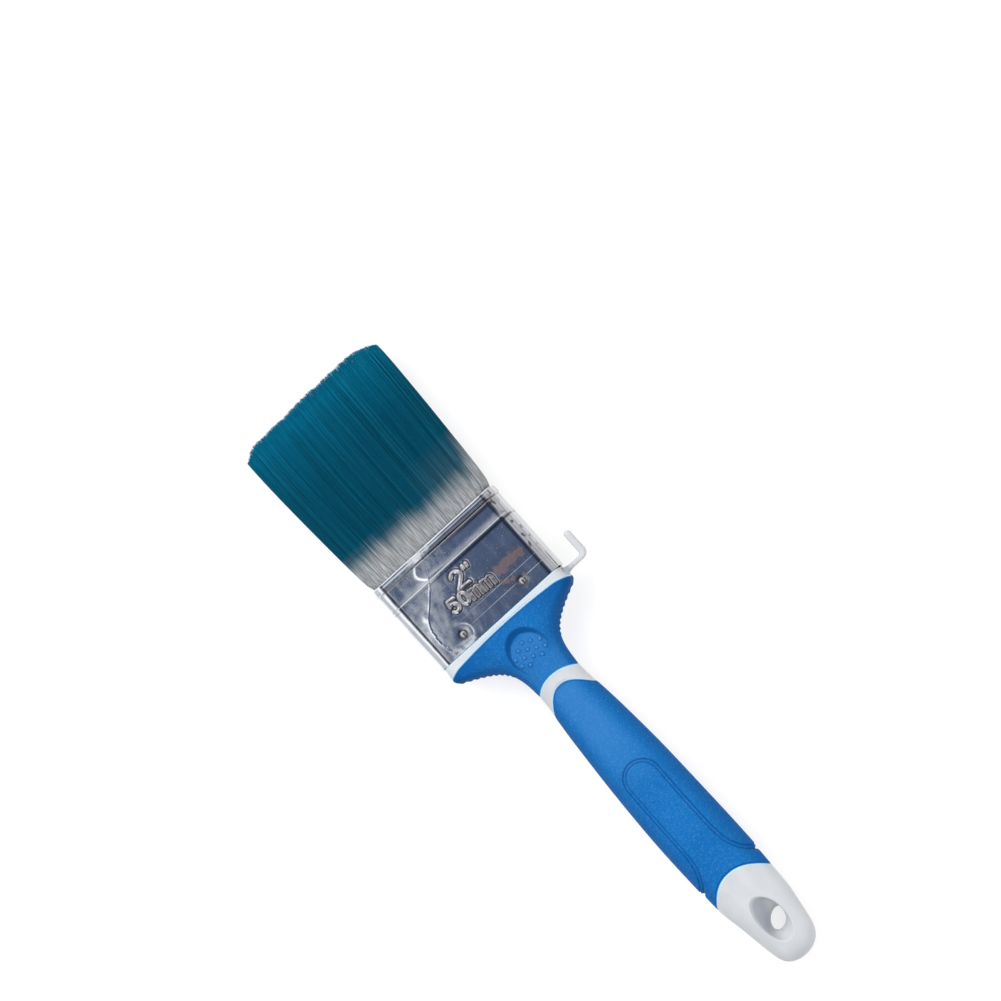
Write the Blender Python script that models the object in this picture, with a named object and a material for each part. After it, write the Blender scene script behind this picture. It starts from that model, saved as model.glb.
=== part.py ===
"""Flat paint brush, 50 mm wide, lying on its back.

Frame: +Y runs from the handle to the bristle tips, +X to the side of the can
hook, +Z out of the front face. The origin is the centre of the ferrule's flat
back face. All lengths below are in millimetres and are scaled to metres as each
mesh is made.
"""

import math

import bmesh
import bpy
from mathutils import Vector

MM = 0.001

# ---- driving dimensions (mm) ------------------------------------------------

GAP = 0.3  # clearance between neighbouring pieces

# ferrule
FERRULE_LENGTH = 35.4
FERRULE_WIDTH = 51.0
FERRULE_THICK = 15.5
FERRULE_CORNER = 3.0
FERRULE_WALL = 0.45
RIM_BEAD = 3.2  # length of the rolled bead at the bristle rim
BELT = 7.2  # length of the pressed belt behind the bead
BELT_DEPTH = 0.35
BEAD_HEIGHT = 0.45
CREASE_FROM_EDGE = 8.4  # pressed line round the ferrule above the nails
CREASE_DEPTH = 0.12

MID_Z = FERRULE_THICK / 2  # mid-plane of the brush
Y_HANDLE_EDGE = -FERRULE_LENGTH / 2  # ferrule edge at the handle
Y_RIM = FERRULE_LENGTH / 2  # ferrule edge at the bristles

# nails
NAIL_HEAD_R = 1.35
NAIL_HEAD_H = 0.5
NAIL_SHANK_R = 0.75
NAIL_LENGTH = 5.0
NAIL_LEFT_X = -12.6
NAIL_RIGHT_X = 14.2
NAIL_FROM_EDGE = 4.4

# handle, measured along s from the ferrule's handle edge towards the tail
TANG_LENGTH = 11.7
TAIL_END = 151.0
SKIN_SEAT = 1.8  # depth of the seats that the soft grips lie in
HOLE_S = 134.6  # centre of the hanging hole
HOLE_RIM = (4.8, 9.3)  # half width and half length at the faces
HOLE_WAIST = (3.5, 5.2)  # half width and half length at mid-depth

# half width of the handle against s
HALF_WIDTH = (
    (-1.0, 25.7), (0.3, 25.7), (2.5, 26.1), (5.0, 26.6), (6.1, 26.5), (7.1, 25.0),
    (8.5, 21.9), (10.2, 18.6), (12.2, 15.2), (15.0, 12.0), (18.0, 10.2), (21.5, 9.2),
    (25.0, 8.75), (28.5, 8.6), (32.0, 8.75), (36.4, 9.2), (44.0, 10.0), (53.0, 10.7),
    (65.0, 11.45), (76.0, 11.85), (88.0, 12.1), (100.0, 12.2), (111.0, 12.1),
    (116.0, 11.8), (121.0, 11.6), (128.0, 11.0), (135.0, 10.1), (142.0, 9.0),
    (146.5, 7.9), (148.9, 6.2), (150.4, 3.6), (151.0, 0.9),
)
# half depth of the handle against s
HALF_DEPTH = (
    (-1.0, 8.1), (0.3, 8.1), (2.5, 8.3), (5.0, 8.6), (8.0, 8.5), (12.0, 8.0),
    (18.0, 7.4), (25.0, 7.15), (30.0, 7.2), (36.4, 7.6), (53.0, 8.5), (70.0, 9.1),
    (88.0, 9.3), (105.0, 9.0), (116.0, 8.4), (128.0, 7.5), (135.0, 6.9), (142.0, 6.2),
    (146.5, 5.4), (148.9, 4.2), (150.4, 2.4), (151.0, 0.7),
)
# how far the section has gone from a rounded rectangle (0) to an ellipse (1)
ROUNDNESS = (
    (-1.0, 0.0), (2.0, 0.05), (6.0, 0.25), (12.0, 0.7), (18.0, 0.95), (24.0, 1.0),
    (110.0, 1.0), (128.0, 0.8), (145.0, 0.7), (151.0, 0.9),
)
# corner radius of the rounded rectangle
CORNER = (
    (-1.0, 3.2), (3.0, 3.6), (8.0, 5.0), (15.0, 6.0), (30.0, 6.0), (120.0, 6.0),
    (142.0, 4.6), (148.9, 3.4), (151.0, 0.6),
)

# where the soft grips begin and end: (s at the centre of a face, s at the sides)
SHOULDER_START = (2.1, 4.9)
SHOULDER_END = (25.3, 28.2)
SLEEVE_START = (29.6, 36.4)
SLEEVE_END = (113.9, 120.7)

# thumb rest, a round dish in the shoulder grip. Its floor runs along the brush
# while the face falls away towards the neck, so it is deep at the ferrule's side
# and fades out towards the tail.
THUMB_S = 14.4
THUMB_R = 7.2
THUMB_DEPTH = 0.4  # below the face at the dish's centre

# can hook, one moulding with the collar
HOOK_S = (2.0, 3.5)  # the arm lies between these
HOOK_REACH = 36.9  # outer face of the upright part
HOOK_TIP_THICK = 2.1
HOOK_TIP_S = -7.4  # end of the upright part
HOOK_DEPTH = 4.6  # along Z
HOOK_BEND_R = 2.6

# bristle tuft: half thickness and half width against distance out of the rim
OUT_LENGTH = 62.6
TUFT_HALF_THICK = (
    (-20.0, 6.6), (-5.5, 6.6), (0.0, 7.1), (7.0, 7.8), (17.0, 8.1), (32.0, 7.8),
    (44.0, 6.8), (54.0, 5.3), (60.0, 3.9), (62.6, 3.1),
)
TUFT_HALF_WIDTH = (
    (-20.0, 24.3), (-5.5, 24.3), (0.0, 24.9), (5.0, 26.5), (18.0, 28.2), (32.0, 29.2),
    (44.0, 29.7), (52.0, 29.8), (57.0, 29.6), (60.2, 28.9), (61.8, 27.8), (62.6, 26.4),
)

# resin set and spacers
RESIN_Y = (-5.7, 3.5)
RESIN_HALF = (24.7, 6.95)
ROOT_Y = -2.0  # where the filament roots end in the resin
ROOT_HALF_WIDTH = 22.4
ROW_MIDDLE = 1.6  # half thickness of the middle row in the ferrule
ROW_OUTER = (3.4, 6.6)  # inner and outer faces of the outer rows in the ferrule
ROOT_OUTER = 6.1  # outer face of the outer rows' roots
SPACER_Z = (1.9, 3.1)
SPACER_HALF_WIDTH = 23.4
SPACER_TOP = 11.0


# ---- helpers ----------------------------------------------------------------


def smooth(table, x):
    """Monotone cubic through the table's points."""
    xs = [p[0] for p in table]
    ys = [p[1] for p in table]
    if x <= xs[0]:
        return ys[0]
    if x >= xs[-1]:
        return ys[-1]
    d = [(ys[i + 1] - ys[i]) / (xs[i + 1] - xs[i]) for i in range(len(xs) - 1)]
    m = [d[0]]
    for i in range(1, len(xs) - 1):
        if d[i - 1] * d[i] <= 0:
            m.append(0.0)
        else:
            h0, h1 = xs[i] - xs[i - 1], xs[i + 1] - xs[i]
            w0, w1 = 2 * h1 + h0, h1 + 2 * h0
            m.append((w0 + w1) / (w0 / d[i - 1] + w1 / d[i]))
    m.append(d[-1])
    i = max(k for k in range(len(xs) - 1) if xs[k] <= x)
    h = xs[i + 1] - xs[i]
    t = (x - xs[i]) / h
    return (
        ys[i] * (1 + 2 * t) * (1 - t) ** 2
        + h * m[i] * t * (1 - t) ** 2
        + ys[i + 1] * t * t * (3 - 2 * t)
        + h * m[i + 1] * t * t * (t - 1)
    )


def outline(top, side, corner):
    """Where each point of a section lies: (part, fraction) around one turn, from +X by +Z.

    A quadrant runs from the side's middle over the corner to the top's middle.
    """
    quarter = [("side", i / side) for i in range(side)]
    quarter += [("corner", i / corner) for i in range(corner)]
    quarter += [("top", i / top) for i in range(top)]
    points = [(p, f, 1, 1) for p, f in quarter]
    points += [("top", 1.0, 1, 1)]
    points += [(p, f, -1, 1) for p, f in reversed(quarter[1:])]
    points += [("side", 0.0, -1, 1)]
    points += [(p, f, -1, -1) for p, f in quarter[1:]]
    points += [("top", 1.0, 1, -1)]
    points += [(p, f, 1, -1) for p, f in reversed(quarter[1:])]
    return points


def section_point(where, a, b, r, round_share=0.0):
    """A point of a section of half width a and half depth b."""
    part, f, sx, sz = where
    r = min(r, a * 0.98, b * 0.98)
    if part == "side":
        x, z, angle = a, (b - r) * f, 16 * f
    elif part == "corner":
        t = math.pi / 2 * f
        x, z, angle = a - r + r * math.cos(t), b - r + r * math.sin(t), 16 + 34 * f
    else:
        x, z, angle = (a - r) * (1 - f), b, 50 + 40 * f
    t = math.radians(angle)
    x += (a * math.cos(t) - x) * round_share
    z += (b * math.sin(t) - z) * round_share
    return x * sx, z * sz


HANDLE_RING = outline(4, 2, 4)
PLAIN_RING = outline(1, 1, 4)


def handle_surface(s, where):
    """A point of the handle's outer surface, with z counted from the mid-plane."""
    x, z = section_point(
        where,
        smooth(HALF_WIDTH, s),
        smooth(HALF_DEPTH, s),
        smooth(CORNER, s),
        smooth(ROUNDNESS, s),
    )
    return Vector((x, Y_HANDLE_EDGE - s, z))


def handle_point(s, i, depth):
    """The same, set in by depth along the surface's normal."""
    p = handle_surface(s, HANDLE_RING[i])
    if not depth:
        return p
    n = len(HANDLE_RING)
    along = handle_surface(s + 0.2, HANDLE_RING[i]) - handle_surface(s - 0.2, HANDLE_RING[i])
    round_ = handle_surface(s, HANDLE_RING[(i + 1) % n]) - handle_surface(s, HANDLE_RING[i - 1])
    normal = along.cross(round_).normalized()
    if normal.x * p.x + normal.z * p.z < 0:
        normal = -normal
    return p - normal * depth


def edge_s(edge, where):
    """A grip's end: it bows from the middle of a face to the sides."""
    centre, side = edge
    x, z = section_point(where, 1.0, 1.0, 0.999, 1.0)
    return centre + (side - centre) * abs(x) ** 2.2


def mesh_object(name, points, faces, material, smooth_deg=35):
    mesh = bpy.data.meshes.new(name)
    mesh.from_pydata([tuple(c * MM for c in p) for p in points], [], faces)
    bm = bmesh.new()
    bm.from_mesh(mesh)
    bmesh.ops.recalc_face_normals(bm, faces=bm.faces)
    if bm.calc_volume(signed=True) < 0:
        bmesh.ops.reverse_faces(bm, faces=bm.faces)
    bm.to_mesh(mesh)
    bm.free()
    mesh.shade_smooth()
    mesh.set_sharp_from_angle(angle=math.radians(smooth_deg))
    mesh.materials.append(material)
    obj = bpy.data.objects.new(name, mesh)
    bpy.context.scene.collection.objects.link(obj)
    return obj


def loft(name, rings, material, start=True, end=True, closed=False, smooth_deg=35):
    """Rings of equal length joined in turn, with flat caps or closed into a tube wall."""
    n = len(rings[0])
    points = [p for ring in rings for p in ring]
    faces = []
    last = len(rings) if closed else len(rings) - 1
    for k in range(last):
        a, b = k * n, ((k + 1) % len(rings)) * n
        for i in range(n):
            j = (i + 1) % n
            faces.append((a + i, a + j, b + j, b + i))
    if not closed and start:
        faces.append(tuple(range(n))[::-1])
    if not closed and end:
        faces.append(tuple(range((len(rings) - 1) * n, len(rings) * n)))
    return mesh_object(name, points, faces, material, smooth_deg)


def box(name, lo, hi, material):
    corners = [(x, y, z) for x in (lo[0], hi[0]) for y in (lo[1], hi[1]) for z in (lo[2], hi[2])]
    faces = [(0, 1, 3, 2), (4, 6, 7, 5), (0, 4, 5, 1), (2, 3, 7, 6), (0, 2, 6, 4), (1, 5, 7, 3)]
    return mesh_object(name, corners, faces, material)


def cutter(obj):
    obj.hide_render = True
    obj.display_type = "WIRE"
    return obj


def boolean(obj, other, operation):
    mod = obj.modifiers.new(operation.lower(), "BOOLEAN")
    mod.operation = operation
    mod.solver = "EXACT"
    mod.object = cutter(other)


def shade(name, rgb, roughness, metallic=0.0):
    material = bpy.data.materials.new(name)
    material.use_nodes = True
    shader = material.node_tree.nodes["Principled BSDF"]
    shader.inputs["Base Color"].default_value = (*rgb, 1.0)
    shader.inputs["Roughness"].default_value = roughness
    shader.inputs["Metallic"].default_value = metallic
    return material


# ---- pieces -----------------------------------------------------------------


def handle_rings():
    """The moulded core: tang, collar, seat of the shoulder grip, neck band, seat of the sleeve, tail."""
    n = range(len(HANDLE_RING))
    rings = []

    def tang(y, inset):
        a = FERRULE_WIDTH / 2 - FERRULE_WALL - GAP - inset
        b = FERRULE_THICK / 2 - FERRULE_WALL - GAP - inset
        ring = []
        for i in n:
            x, z = section_point(HANDLE_RING[i], a, b, 2.3)
            ring.append(Vector((x, y, z)))
        rings.append(ring)

    def skin(s_of, depth):
        rings.append([handle_point(s_of(HANDLE_RING[i]), i, depth) for i in n])

    def between(e0, e1, f):
        return lambda w: edge_s(e0, w) * (1 - f) + edge_s(e1, w) * f

    tang(Y_HANDLE_EDGE + TANG_LENGTH, 0.8)
    tang(Y_HANDLE_EDGE + TANG_LENGTH - 0.9, 0.0)
    tang(Y_HANDLE_EDGE - GAP, 0.0)
    face = (GAP, GAP)
    skin(between(face, face, 0), 0)
    skin(between(face, SHOULDER_START, 0.5), 0)
    skin(between(SHOULDER_START, SHOULDER_END, 0), 0)
    for f in SHOULDER_STEPS:
        skin(between(SHOULDER_START, SHOULDER_END, f), SKIN_SEAT)
    skin(between(SHOULDER_START, SHOULDER_END, 1), 0)
    skin(between(SHOULDER_END, SLEEVE_START, 0.5), 0)
    skin(between(SLEEVE_START, SLEEVE_END, 0), 0)
    for f in SLEEVE_STEPS:
        skin(between(SLEEVE_START, SLEEVE_END, f), SKIN_SEAT)
    skin(between(SLEEVE_START, SLEEVE_END, 1), 0)
    for s, bow in ((125, 0.7), (130, 0.35), (135, 0.1), (139.5, 0), (143.5, 0), (146.5, 0), (148.6, 0), (149.9, 0), (150.7, 0)):
        tail = (s - 3 * bow, s + 2 * bow)
        skin(between(tail, tail, 0), 0)
    skin(between((TAIL_END, TAIL_END), (TAIL_END, TAIL_END), 0), 0)
    return rings


SHOULDER_STEPS = (0, 0.055, 0.12, 0.2, 0.29, 0.39, 0.5, 0.63, 0.8, 1)
SLEEVE_STEPS = (0, 0.07, 0.16, 0.28, 0.42, 0.57, 0.71, 0.83, 0.93, 1)


def grip_rings(start, end, steps):
    """A soft grip: a skin over its seat, its outer face level with the core's bands."""
    n = range(len(HANDLE_RING))
    start = tuple(v + GAP for v in start)
    end = tuple(v - GAP for v in end)

    def ring(f, depth, push=0.0):
        out = []
        for i in n:
            w = HANDLE_RING[i]
            s = edge_s(start, w) * (1 - f) + edge_s(end, w) * f + push
            out.append(handle_point(s, i, depth))
        return out

    rings = [ring(0, 0.45)]
    rings.append(ring(0, 0.0, 0.4))
    rings += [ring(f, 0.0) for f in steps[1:-1]]
    rings.append(ring(1, 0.0, -0.4))
    rings.append(ring(1, 0.45))
    rings += [ring(f, SKIN_SEAT - GAP) for f in reversed(steps)]
    return rings


def lifted(rings):
    return [[p + Vector((0, 0, MID_Z)) for p in ring] for ring in rings]


def hook_rings():
    """An L-shaped strip of rectangular section, from inside the collar out along X, then towards the bristles."""
    s_lo, s_hi = HOOK_S
    y_hi, y_lo = Y_HANDLE_EDGE - s_lo, Y_HANDLE_EDGE - s_hi  # faces of the arm
    x_out, x_in = HOOK_REACH, HOOK_REACH - HOOK_TIP_THICK
    y_tip = Y_HANDLE_EDGE - HOOK_TIP_S
    root = FERRULE_WIDTH / 2 - 3.5
    centre = Vector((x_out - HOOK_BEND_R, y_lo + HOOK_BEND_R, 0))
    pairs = [((root, y_lo), (root, y_hi))]  # (outer edge, inner edge)
    for k in range(6):
        t = -math.pi / 2 + math.pi / 2 * k / 5
        outer = (centre.x + HOOK_BEND_R * math.cos(t), centre.y + HOOK_BEND_R * math.sin(t))
        f = k / 5
        inner_r = 0.9
        inner_c = (x_in - inner_r, y_hi + inner_r)
        inner = (inner_c[0] + inner_r * math.cos(t), inner_c[1] + inner_r * math.sin(t))
        pairs.append((outer, inner))
    middle = (x_out + x_in) / 2
    for k in range(4):
        t = math.pi / 2 * k / 3 * 0.86
        half = HOOK_TIP_THICK / 2 * math.cos(t)
        y = y_tip - HOOK_TIP_THICK / 2 + HOOK_TIP_THICK / 2 * math.sin(t)
        pairs.append(((middle + half, y), (middle - half, y)))
    rings = []
    for (ox, oy), (ix, iy) in pairs:
        h = HOOK_DEPTH / 2
        rings.append([(ox, oy, -h), (ix, iy, -h), (ix, iy, h), (ox, oy, h)])
    return [[Vector(p) for p in ring] for ring in rings]


def hole_rings():
    """The hanging hole: an oval waisted at mid-depth and flared to both faces."""
    y0 = Y_HANDLE_EDGE - HOLE_S
    face = smooth(HALF_DEPTH, HOLE_S)
    rings = []
    for z in (-12.0, -face, -face * 0.66, -face * 0.33, 0.0, face * 0.33, face * 0.66, face, 12.0):
        t = abs(z) / face
        half_w = HOLE_WAIST[0] + (HOLE_RIM[0] - HOLE_WAIST[0]) * t**1.7
        half_l = HOLE_WAIST[1] + (HOLE_RIM[1] - HOLE_WAIST[1]) * t**1.7
        ring = []
        for k in range(28):
            a = 2 * math.pi * k / 28
            ring.append(Vector((half_w * math.cos(a), y0 + half_l * math.sin(a), z)))
        rings.append(ring)
    return rings


def round_bar(name, x, y, z0, z1, r, material, sides=12):
    rings = []
    for z in (z0, z1):
        rings.append([Vector((x + r * math.cos(2 * math.pi * k / sides), y + r * math.sin(2 * math.pi * k / sides), z)) for k in range(sides)])
    return loft(name, rings, material)


def nail(name, x, front, material):
    """A domed head on a straight shank; the head lies on the ferrule's face."""
    y = Y_HANDLE_EDGE + NAIL_FROM_EDGE
    face = MID_Z + 0.05
    profile = [(NAIL_SHANK_R * 0.35, face - NAIL_LENGTH), (NAIL_SHANK_R, face - NAIL_LENGTH + 1.4), (NAIL_SHANK_R, face)]
    for k in range(5):
        t = math.pi / 2 * k / 4 * 0.9
        profile.append((NAIL_HEAD_R * math.cos(t), face + 0.04 + NAIL_HEAD_H * math.sin(t)))
    side = 1 if front else -1
    rings = []
    for r, z in profile:
        rings.append([Vector((x + r * math.cos(2 * math.pi * k / 12), y + r * math.sin(2 * math.pi * k / 12), MID_Z + side * z)) for k in range(12)])
    return loft(name, rings, material)


def ferrule_rings():
    """Outer face from the handle edge to the rim, then the inner face back."""
    y_belt_lo = Y_RIM - RIM_BEAD - BELT
    y_belt_hi = Y_RIM - RIM_BEAD
    y_crease = Y_HANDLE_EDGE + CREASE_FROM_EDGE
    profile = [
        (Y_HANDLE_EDGE, 0.0),
        (y_crease - 0.3, 0.0),
        (y_crease, -CREASE_DEPTH),
        (y_crease + 0.3, 0.0),
        (y_belt_lo - 0.4, 0.0),
        (y_belt_lo, -BELT_DEPTH * 0.8),
        (y_belt_lo + 0.6, 0.0),
        (y_belt_lo + BELT * 0.3, -BELT_DEPTH),
        (y_belt_lo + BELT * 0.7, -BELT_DEPTH),
        (y_belt_hi - 0.3, 0.0),
        (y_belt_hi + RIM_BEAD * 0.28, BEAD_HEIGHT * 0.85),
        (y_belt_hi + RIM_BEAD * 0.6, BEAD_HEIGHT),
        (Y_RIM - 0.35, BEAD_HEIGHT * 0.7),
        (Y_RIM, BEAD_HEIGHT * 0.2),
    ]
    rings = []

    def ring(y, off):
        points = []
        for w in PLAIN_RING:
            x, z = section_point(w, FERRULE_WIDTH / 2 + off, FERRULE_THICK / 2 + off, FERRULE_CORNER + off)
            points.append(Vector((x, y, z)))
        rings.append(points)

    for y, off in profile:
        ring(y, off)
    for y, off in reversed(profile):
        ring(y, off - FERRULE_WALL)
    return rings


def row_rings(stations, count=9):
    """One filament row: at each station half width, lower and upper z, and the tuft's own outline."""
    rings = []
    for y, half, lo, hi, limit in stations:
        top, bottom = [], []
        r = min(3.2, limit * 0.8)
        for k in range(count):
            x = half * math.sin(math.pi / 2 * (2 * k / (count - 1) - 1))
            over = max(0.0, abs(x) - (half - r))
            edge = limit - r + math.sqrt(max(0.0, r * r - over * over))
            z_hi = min(hi, max(edge, lo + 0.35)) if hi > 0 else hi
            z_lo = max(lo, min(-edge, hi - 0.35)) if lo < 0 else lo
            top.append(Vector((x, y, z_hi)))
            bottom.append(Vector((x, y, z_lo)))
        rings.append(top + bottom[::-1])
    return rings


def tuft_rows():
    """Stations of the middle and the outer rows: root in the resin, stem beside the spacers, then free."""
    middle = [
        (ROOT_Y, ROOT_HALF_WIDTH, -ROW_MIDDLE, ROW_MIDDLE, 9.0),
        (RESIN_Y[1] + GAP, ROOT_HALF_WIDTH, -ROW_MIDDLE, ROW_MIDDLE, 9.0),
        (RESIN_Y[1] + GAP + 1.5, 24.3, -ROW_MIDDLE, ROW_MIDDLE, 9.0),
        (SPACER_TOP + GAP, 24.3, -ROW_MIDDLE, ROW_MIDDLE, 9.0),
    ]
    outer = [
        (ROOT_Y, ROOT_HALF_WIDTH, ROW_OUTER[0], ROOT_OUTER, 9.0),
        (RESIN_Y[1] + GAP, ROOT_HALF_WIDTH, ROW_OUTER[0], ROOT_OUTER, 9.0),
        (RESIN_Y[1] + GAP + 1.5, 24.3, ROW_OUTER[0], ROW_OUTER[1], ROW_OUTER[1]),
        (SPACER_TOP + GAP, 24.3, ROW_OUTER[0], ROW_OUTER[1], ROW_OUTER[1]),
    ]
    for out in (-2.2, 0.0, 5.0, 11.0, 18.0, 32.0, 44.0, 52.0, 57.0, 60.2, 61.8, OUT_LENGTH):
        h = smooth(TUFT_HALF_THICK, out)
        w = smooth(TUFT_HALF_WIDTH, out)
        middle.append((Y_RIM + out, w, -h / 3 + GAP / 2, h / 3 - GAP / 2, 9.0))
        if out < 62:
            outer.append((Y_RIM + out, w - 0.2, h / 3 + GAP / 2, h, h))
    return middle, outer


def flipped(rings):
    return [[Vector((p.x, p.y, -p.z)) for p in ring] for ring in rings]


# ---- assembly ---------------------------------------------------------------


def main():
    for obj in list(bpy.data.objects):
        bpy.data.objects.remove(obj, do_unlink=True)

    white = shade("white_plastic", (0.62, 0.66, 0.69), 0.38)
    blue = shade("blue_soft_grip", (0.012, 0.13, 0.46), 0.55)
    plated = shade("plated_steel", (0.78, 0.80, 0.83), 0.12, 1.0)
    nail_steel = shade("nail_steel", (0.66, 0.66, 0.66), 0.2, 1.0)
    dyed = shade("filament", (0.01, 0.10, 0.17), 0.42)
    resin = shade("resin", (0.28, 0.20, 0.10), 0.3)
    strip = shade("spacer_strip", (0.45, 0.36, 0.25), 0.8)

    # handle core with its tang, hook, hanging hole and nail holes
    core = loft("handle_core", lifted(handle_rings()), white)
    boolean(core, loft("hook_strip", lifted(hook_rings()), white), "UNION")
    boolean(core, loft("hole_cutter", lifted(hole_rings()), white), "DIFFERENCE")

    y_nail = Y_HANDLE_EDGE + NAIL_FROM_EDGE
    for tag, x in (("left", NAIL_LEFT_X), ("right", NAIL_RIGHT_X)):
        bore = round_bar("tang_bore_" + tag, x, y_nail, MID_Z - 12, MID_Z + 12, NAIL_SHANK_R + GAP, white)
        boolean(core, bore, "DIFFERENCE")

    # soft grips
    shoulder = loft(
        "shoulder_grip",
        lifted(grip_rings(SHOULDER_START, SHOULDER_END, SHOULDER_STEPS)),
        blue,
        closed=True,
    )
    for side in (1, -1):
        surface = handle_surface(THUMB_S, ("top", 1.0, 1, 1)).z
        rings = []
        for height in (-THUMB_DEPTH, 4.0):
            ring = []
            for k in range(24):
                a = 2 * math.pi * k / 24
                x, y = THUMB_R * math.cos(a), THUMB_R * math.sin(a)
                ring.append(Vector((x, Y_HANDLE_EDGE - THUMB_S + y, MID_Z + side * (surface + height))))
            rings.append(ring)
        boolean(shoulder, loft("thumb_dish_%d" % (1 if side > 0 else 2), rings, blue), "DIFFERENCE")
    loft(
        "handle_grip",
        lifted(grip_rings(SLEEVE_START, SLEEVE_END, SLEEVE_STEPS)),
        blue,
        closed=True,
    )

    # ferrule with its nail holes, and the nails
    ferrule = loft("ferrule", lifted(ferrule_rings()), plated, closed=True, smooth_deg=25)
    for tag, x in (("left", NAIL_LEFT_X), ("right", NAIL_RIGHT_X)):
        hole = round_bar("ferrule_bore_" + tag, x, y_nail, MID_Z - 12, MID_Z + 12, NAIL_SHANK_R + 0.2, plated)
        boolean(ferrule, hole, "DIFFERENCE")
        nail("nail_front_" + tag, x, True, nail_steel)
        nail("nail_back_" + tag, x, False, nail_steel)

    # resin set with a pocket for each row's roots
    rings = []
    for y in RESIN_Y:
        ring = []
        for w in PLAIN_RING:
            x, z = section_point(w, RESIN_HALF[0], RESIN_HALF[1], 2.4)
            ring.append(Vector((x, y, z + MID_Z)))
        rings.append(ring)
    block = loft("resin_set", rings, resin)
    spans = (
        (-ROW_MIDDLE - GAP, ROW_MIDDLE + GAP),
        (ROW_OUTER[0] - GAP, ROOT_OUTER + GAP),
        (-ROOT_OUTER - GAP, -ROW_OUTER[0] + GAP),
    )
    for k, (lo, hi) in enumerate(spans):
        half = ROOT_HALF_WIDTH + GAP
        pocket = box(
            "pocket_%d" % k,
            (-half, ROOT_Y - GAP, MID_Z + lo),
            (half, RESIN_Y[1] + 3, MID_Z + hi),
            resin,
        )
        boolean(block, pocket, "DIFFERENCE")

    # spacer strips between the rows
    for name, side in (("spacer_front", 1), ("spacer_back", -1)):
        z = sorted((side * SPACER_Z[0], side * SPACER_Z[1]))
        box(
            name,
            (-SPACER_HALF_WIDTH, RESIN_Y[1] + GAP, MID_Z + z[0]),
            (SPACER_HALF_WIDTH, SPACER_TOP, MID_Z + z[1]),
            strip,
        )

    # filament rows
    middle, outer = tuft_rows()
    loft("bristles_middle", lifted(row_rings(middle)), dyed)
    loft("bristles_front", lifted(row_rings(outer)), dyed)
    loft("bristles_back", lifted(flipped(row_rings(outer))), dyed)


main()
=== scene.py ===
import math

import bmesh
import bpy
import numpy as np
from mathutils import Matrix, Vector


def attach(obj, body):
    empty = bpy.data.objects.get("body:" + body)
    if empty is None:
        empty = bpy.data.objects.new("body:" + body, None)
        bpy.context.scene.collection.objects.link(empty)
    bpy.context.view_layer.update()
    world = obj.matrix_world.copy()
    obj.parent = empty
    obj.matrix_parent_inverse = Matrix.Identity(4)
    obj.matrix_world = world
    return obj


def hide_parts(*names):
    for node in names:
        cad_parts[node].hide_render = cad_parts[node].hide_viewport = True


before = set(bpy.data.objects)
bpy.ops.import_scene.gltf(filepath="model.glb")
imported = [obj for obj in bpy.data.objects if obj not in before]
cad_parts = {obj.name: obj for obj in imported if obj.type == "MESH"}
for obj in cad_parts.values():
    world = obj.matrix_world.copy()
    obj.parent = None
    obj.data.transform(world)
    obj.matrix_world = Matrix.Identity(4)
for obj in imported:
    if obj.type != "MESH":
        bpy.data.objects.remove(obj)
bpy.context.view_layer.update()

# Lengths below are in millimetres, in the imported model's frame: +Y runs from the
# handle to the bristle tips, +X to the can hook, +Z out of the front face. s runs
# from the ferrule's handle edge towards the tail, h from the same edge towards the
# bristles, and out is the distance past the ferrule's rim.
MM = 0.001
MID_Z = 7.75
Y_EDGE = -17.7
FERRULE_LENGTH = 35.4
TAIL_END = 151.05
HOLE_S = 134.6

SHOULDER = ((2.1, 4.9), (25.3, 28.2))
SLEEVE = ((29.6, 36.4), (113.9, 120.7))

HALF_WIDTH = (
    (-1.0, 25.7), (0.3, 25.7), (2.5, 26.1), (5.0, 26.6), (6.1, 26.5), (7.1, 25.0),
    (8.5, 21.9), (10.2, 18.6), (12.2, 15.2), (15.0, 12.0), (18.0, 10.2), (21.5, 9.2),
    (25.0, 8.75), (28.5, 8.6), (32.0, 8.75), (36.4, 9.2), (44.0, 10.0), (53.0, 10.7),
    (65.0, 11.45), (76.0, 11.85), (88.0, 12.1), (100.0, 12.2), (111.0, 12.1),
    (116.0, 12.0), (121.0, 11.8), (128.0, 11.15), (135.0, 10.15), (142.0, 9.05),
    (152.0, 7.3),
)
HALF_DEPTH = (
    (-1.0, 8.1), (0.3, 8.1), (2.5, 8.3), (5.0, 8.6), (8.0, 8.5), (12.0, 8.0),
    (18.0, 7.4), (25.0, 7.15), (30.0, 7.2), (36.4, 7.6), (53.0, 8.5), (70.0, 9.1),
    (88.0, 9.3), (105.0, 9.0), (116.0, 8.4), (128.0, 7.5), (135.0, 6.9), (142.0, 6.2),
    (152.0, 5.2),
)
ROUNDNESS = (
    (-1.0, 0.0), (2.0, 0.05), (6.0, 0.25), (12.0, 0.7), (18.0, 0.95), (24.0, 1.0),
    (110.0, 1.0), (128.0, 0.85), (145.0, 0.8), (152.0, 0.9),
)
CORNER = (
    (-1.0, 3.2), (3.0, 3.6), (8.0, 5.0), (15.0, 6.0), (30.0, 6.0), (120.0, 6.0),
    (142.0, 4.6), (152.0, 4.0),
)
TUFT_THICK = (
    (-20.0, 6.6), (-5.5, 6.6), (0.0, 7.1), (7.0, 7.8), (17.0, 8.1), (32.0, 7.8),
    (44.0, 6.8), (54.0, 5.3), (60.0, 3.9), (62.6, 3.1), (66.0, 2.2),
)
TUFT_WIDTH = (
    (-20.0, 25.4), (-2.0, 25.6), (0.0, 25.85), (1.4, 26.5), (5.0, 27.0), (12.0, 27.5),
    (25.0, 28.25), (40.0, 29.0), (50.0, 29.4), (58.0, 29.45), (66.0, 29.4),
)


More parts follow.
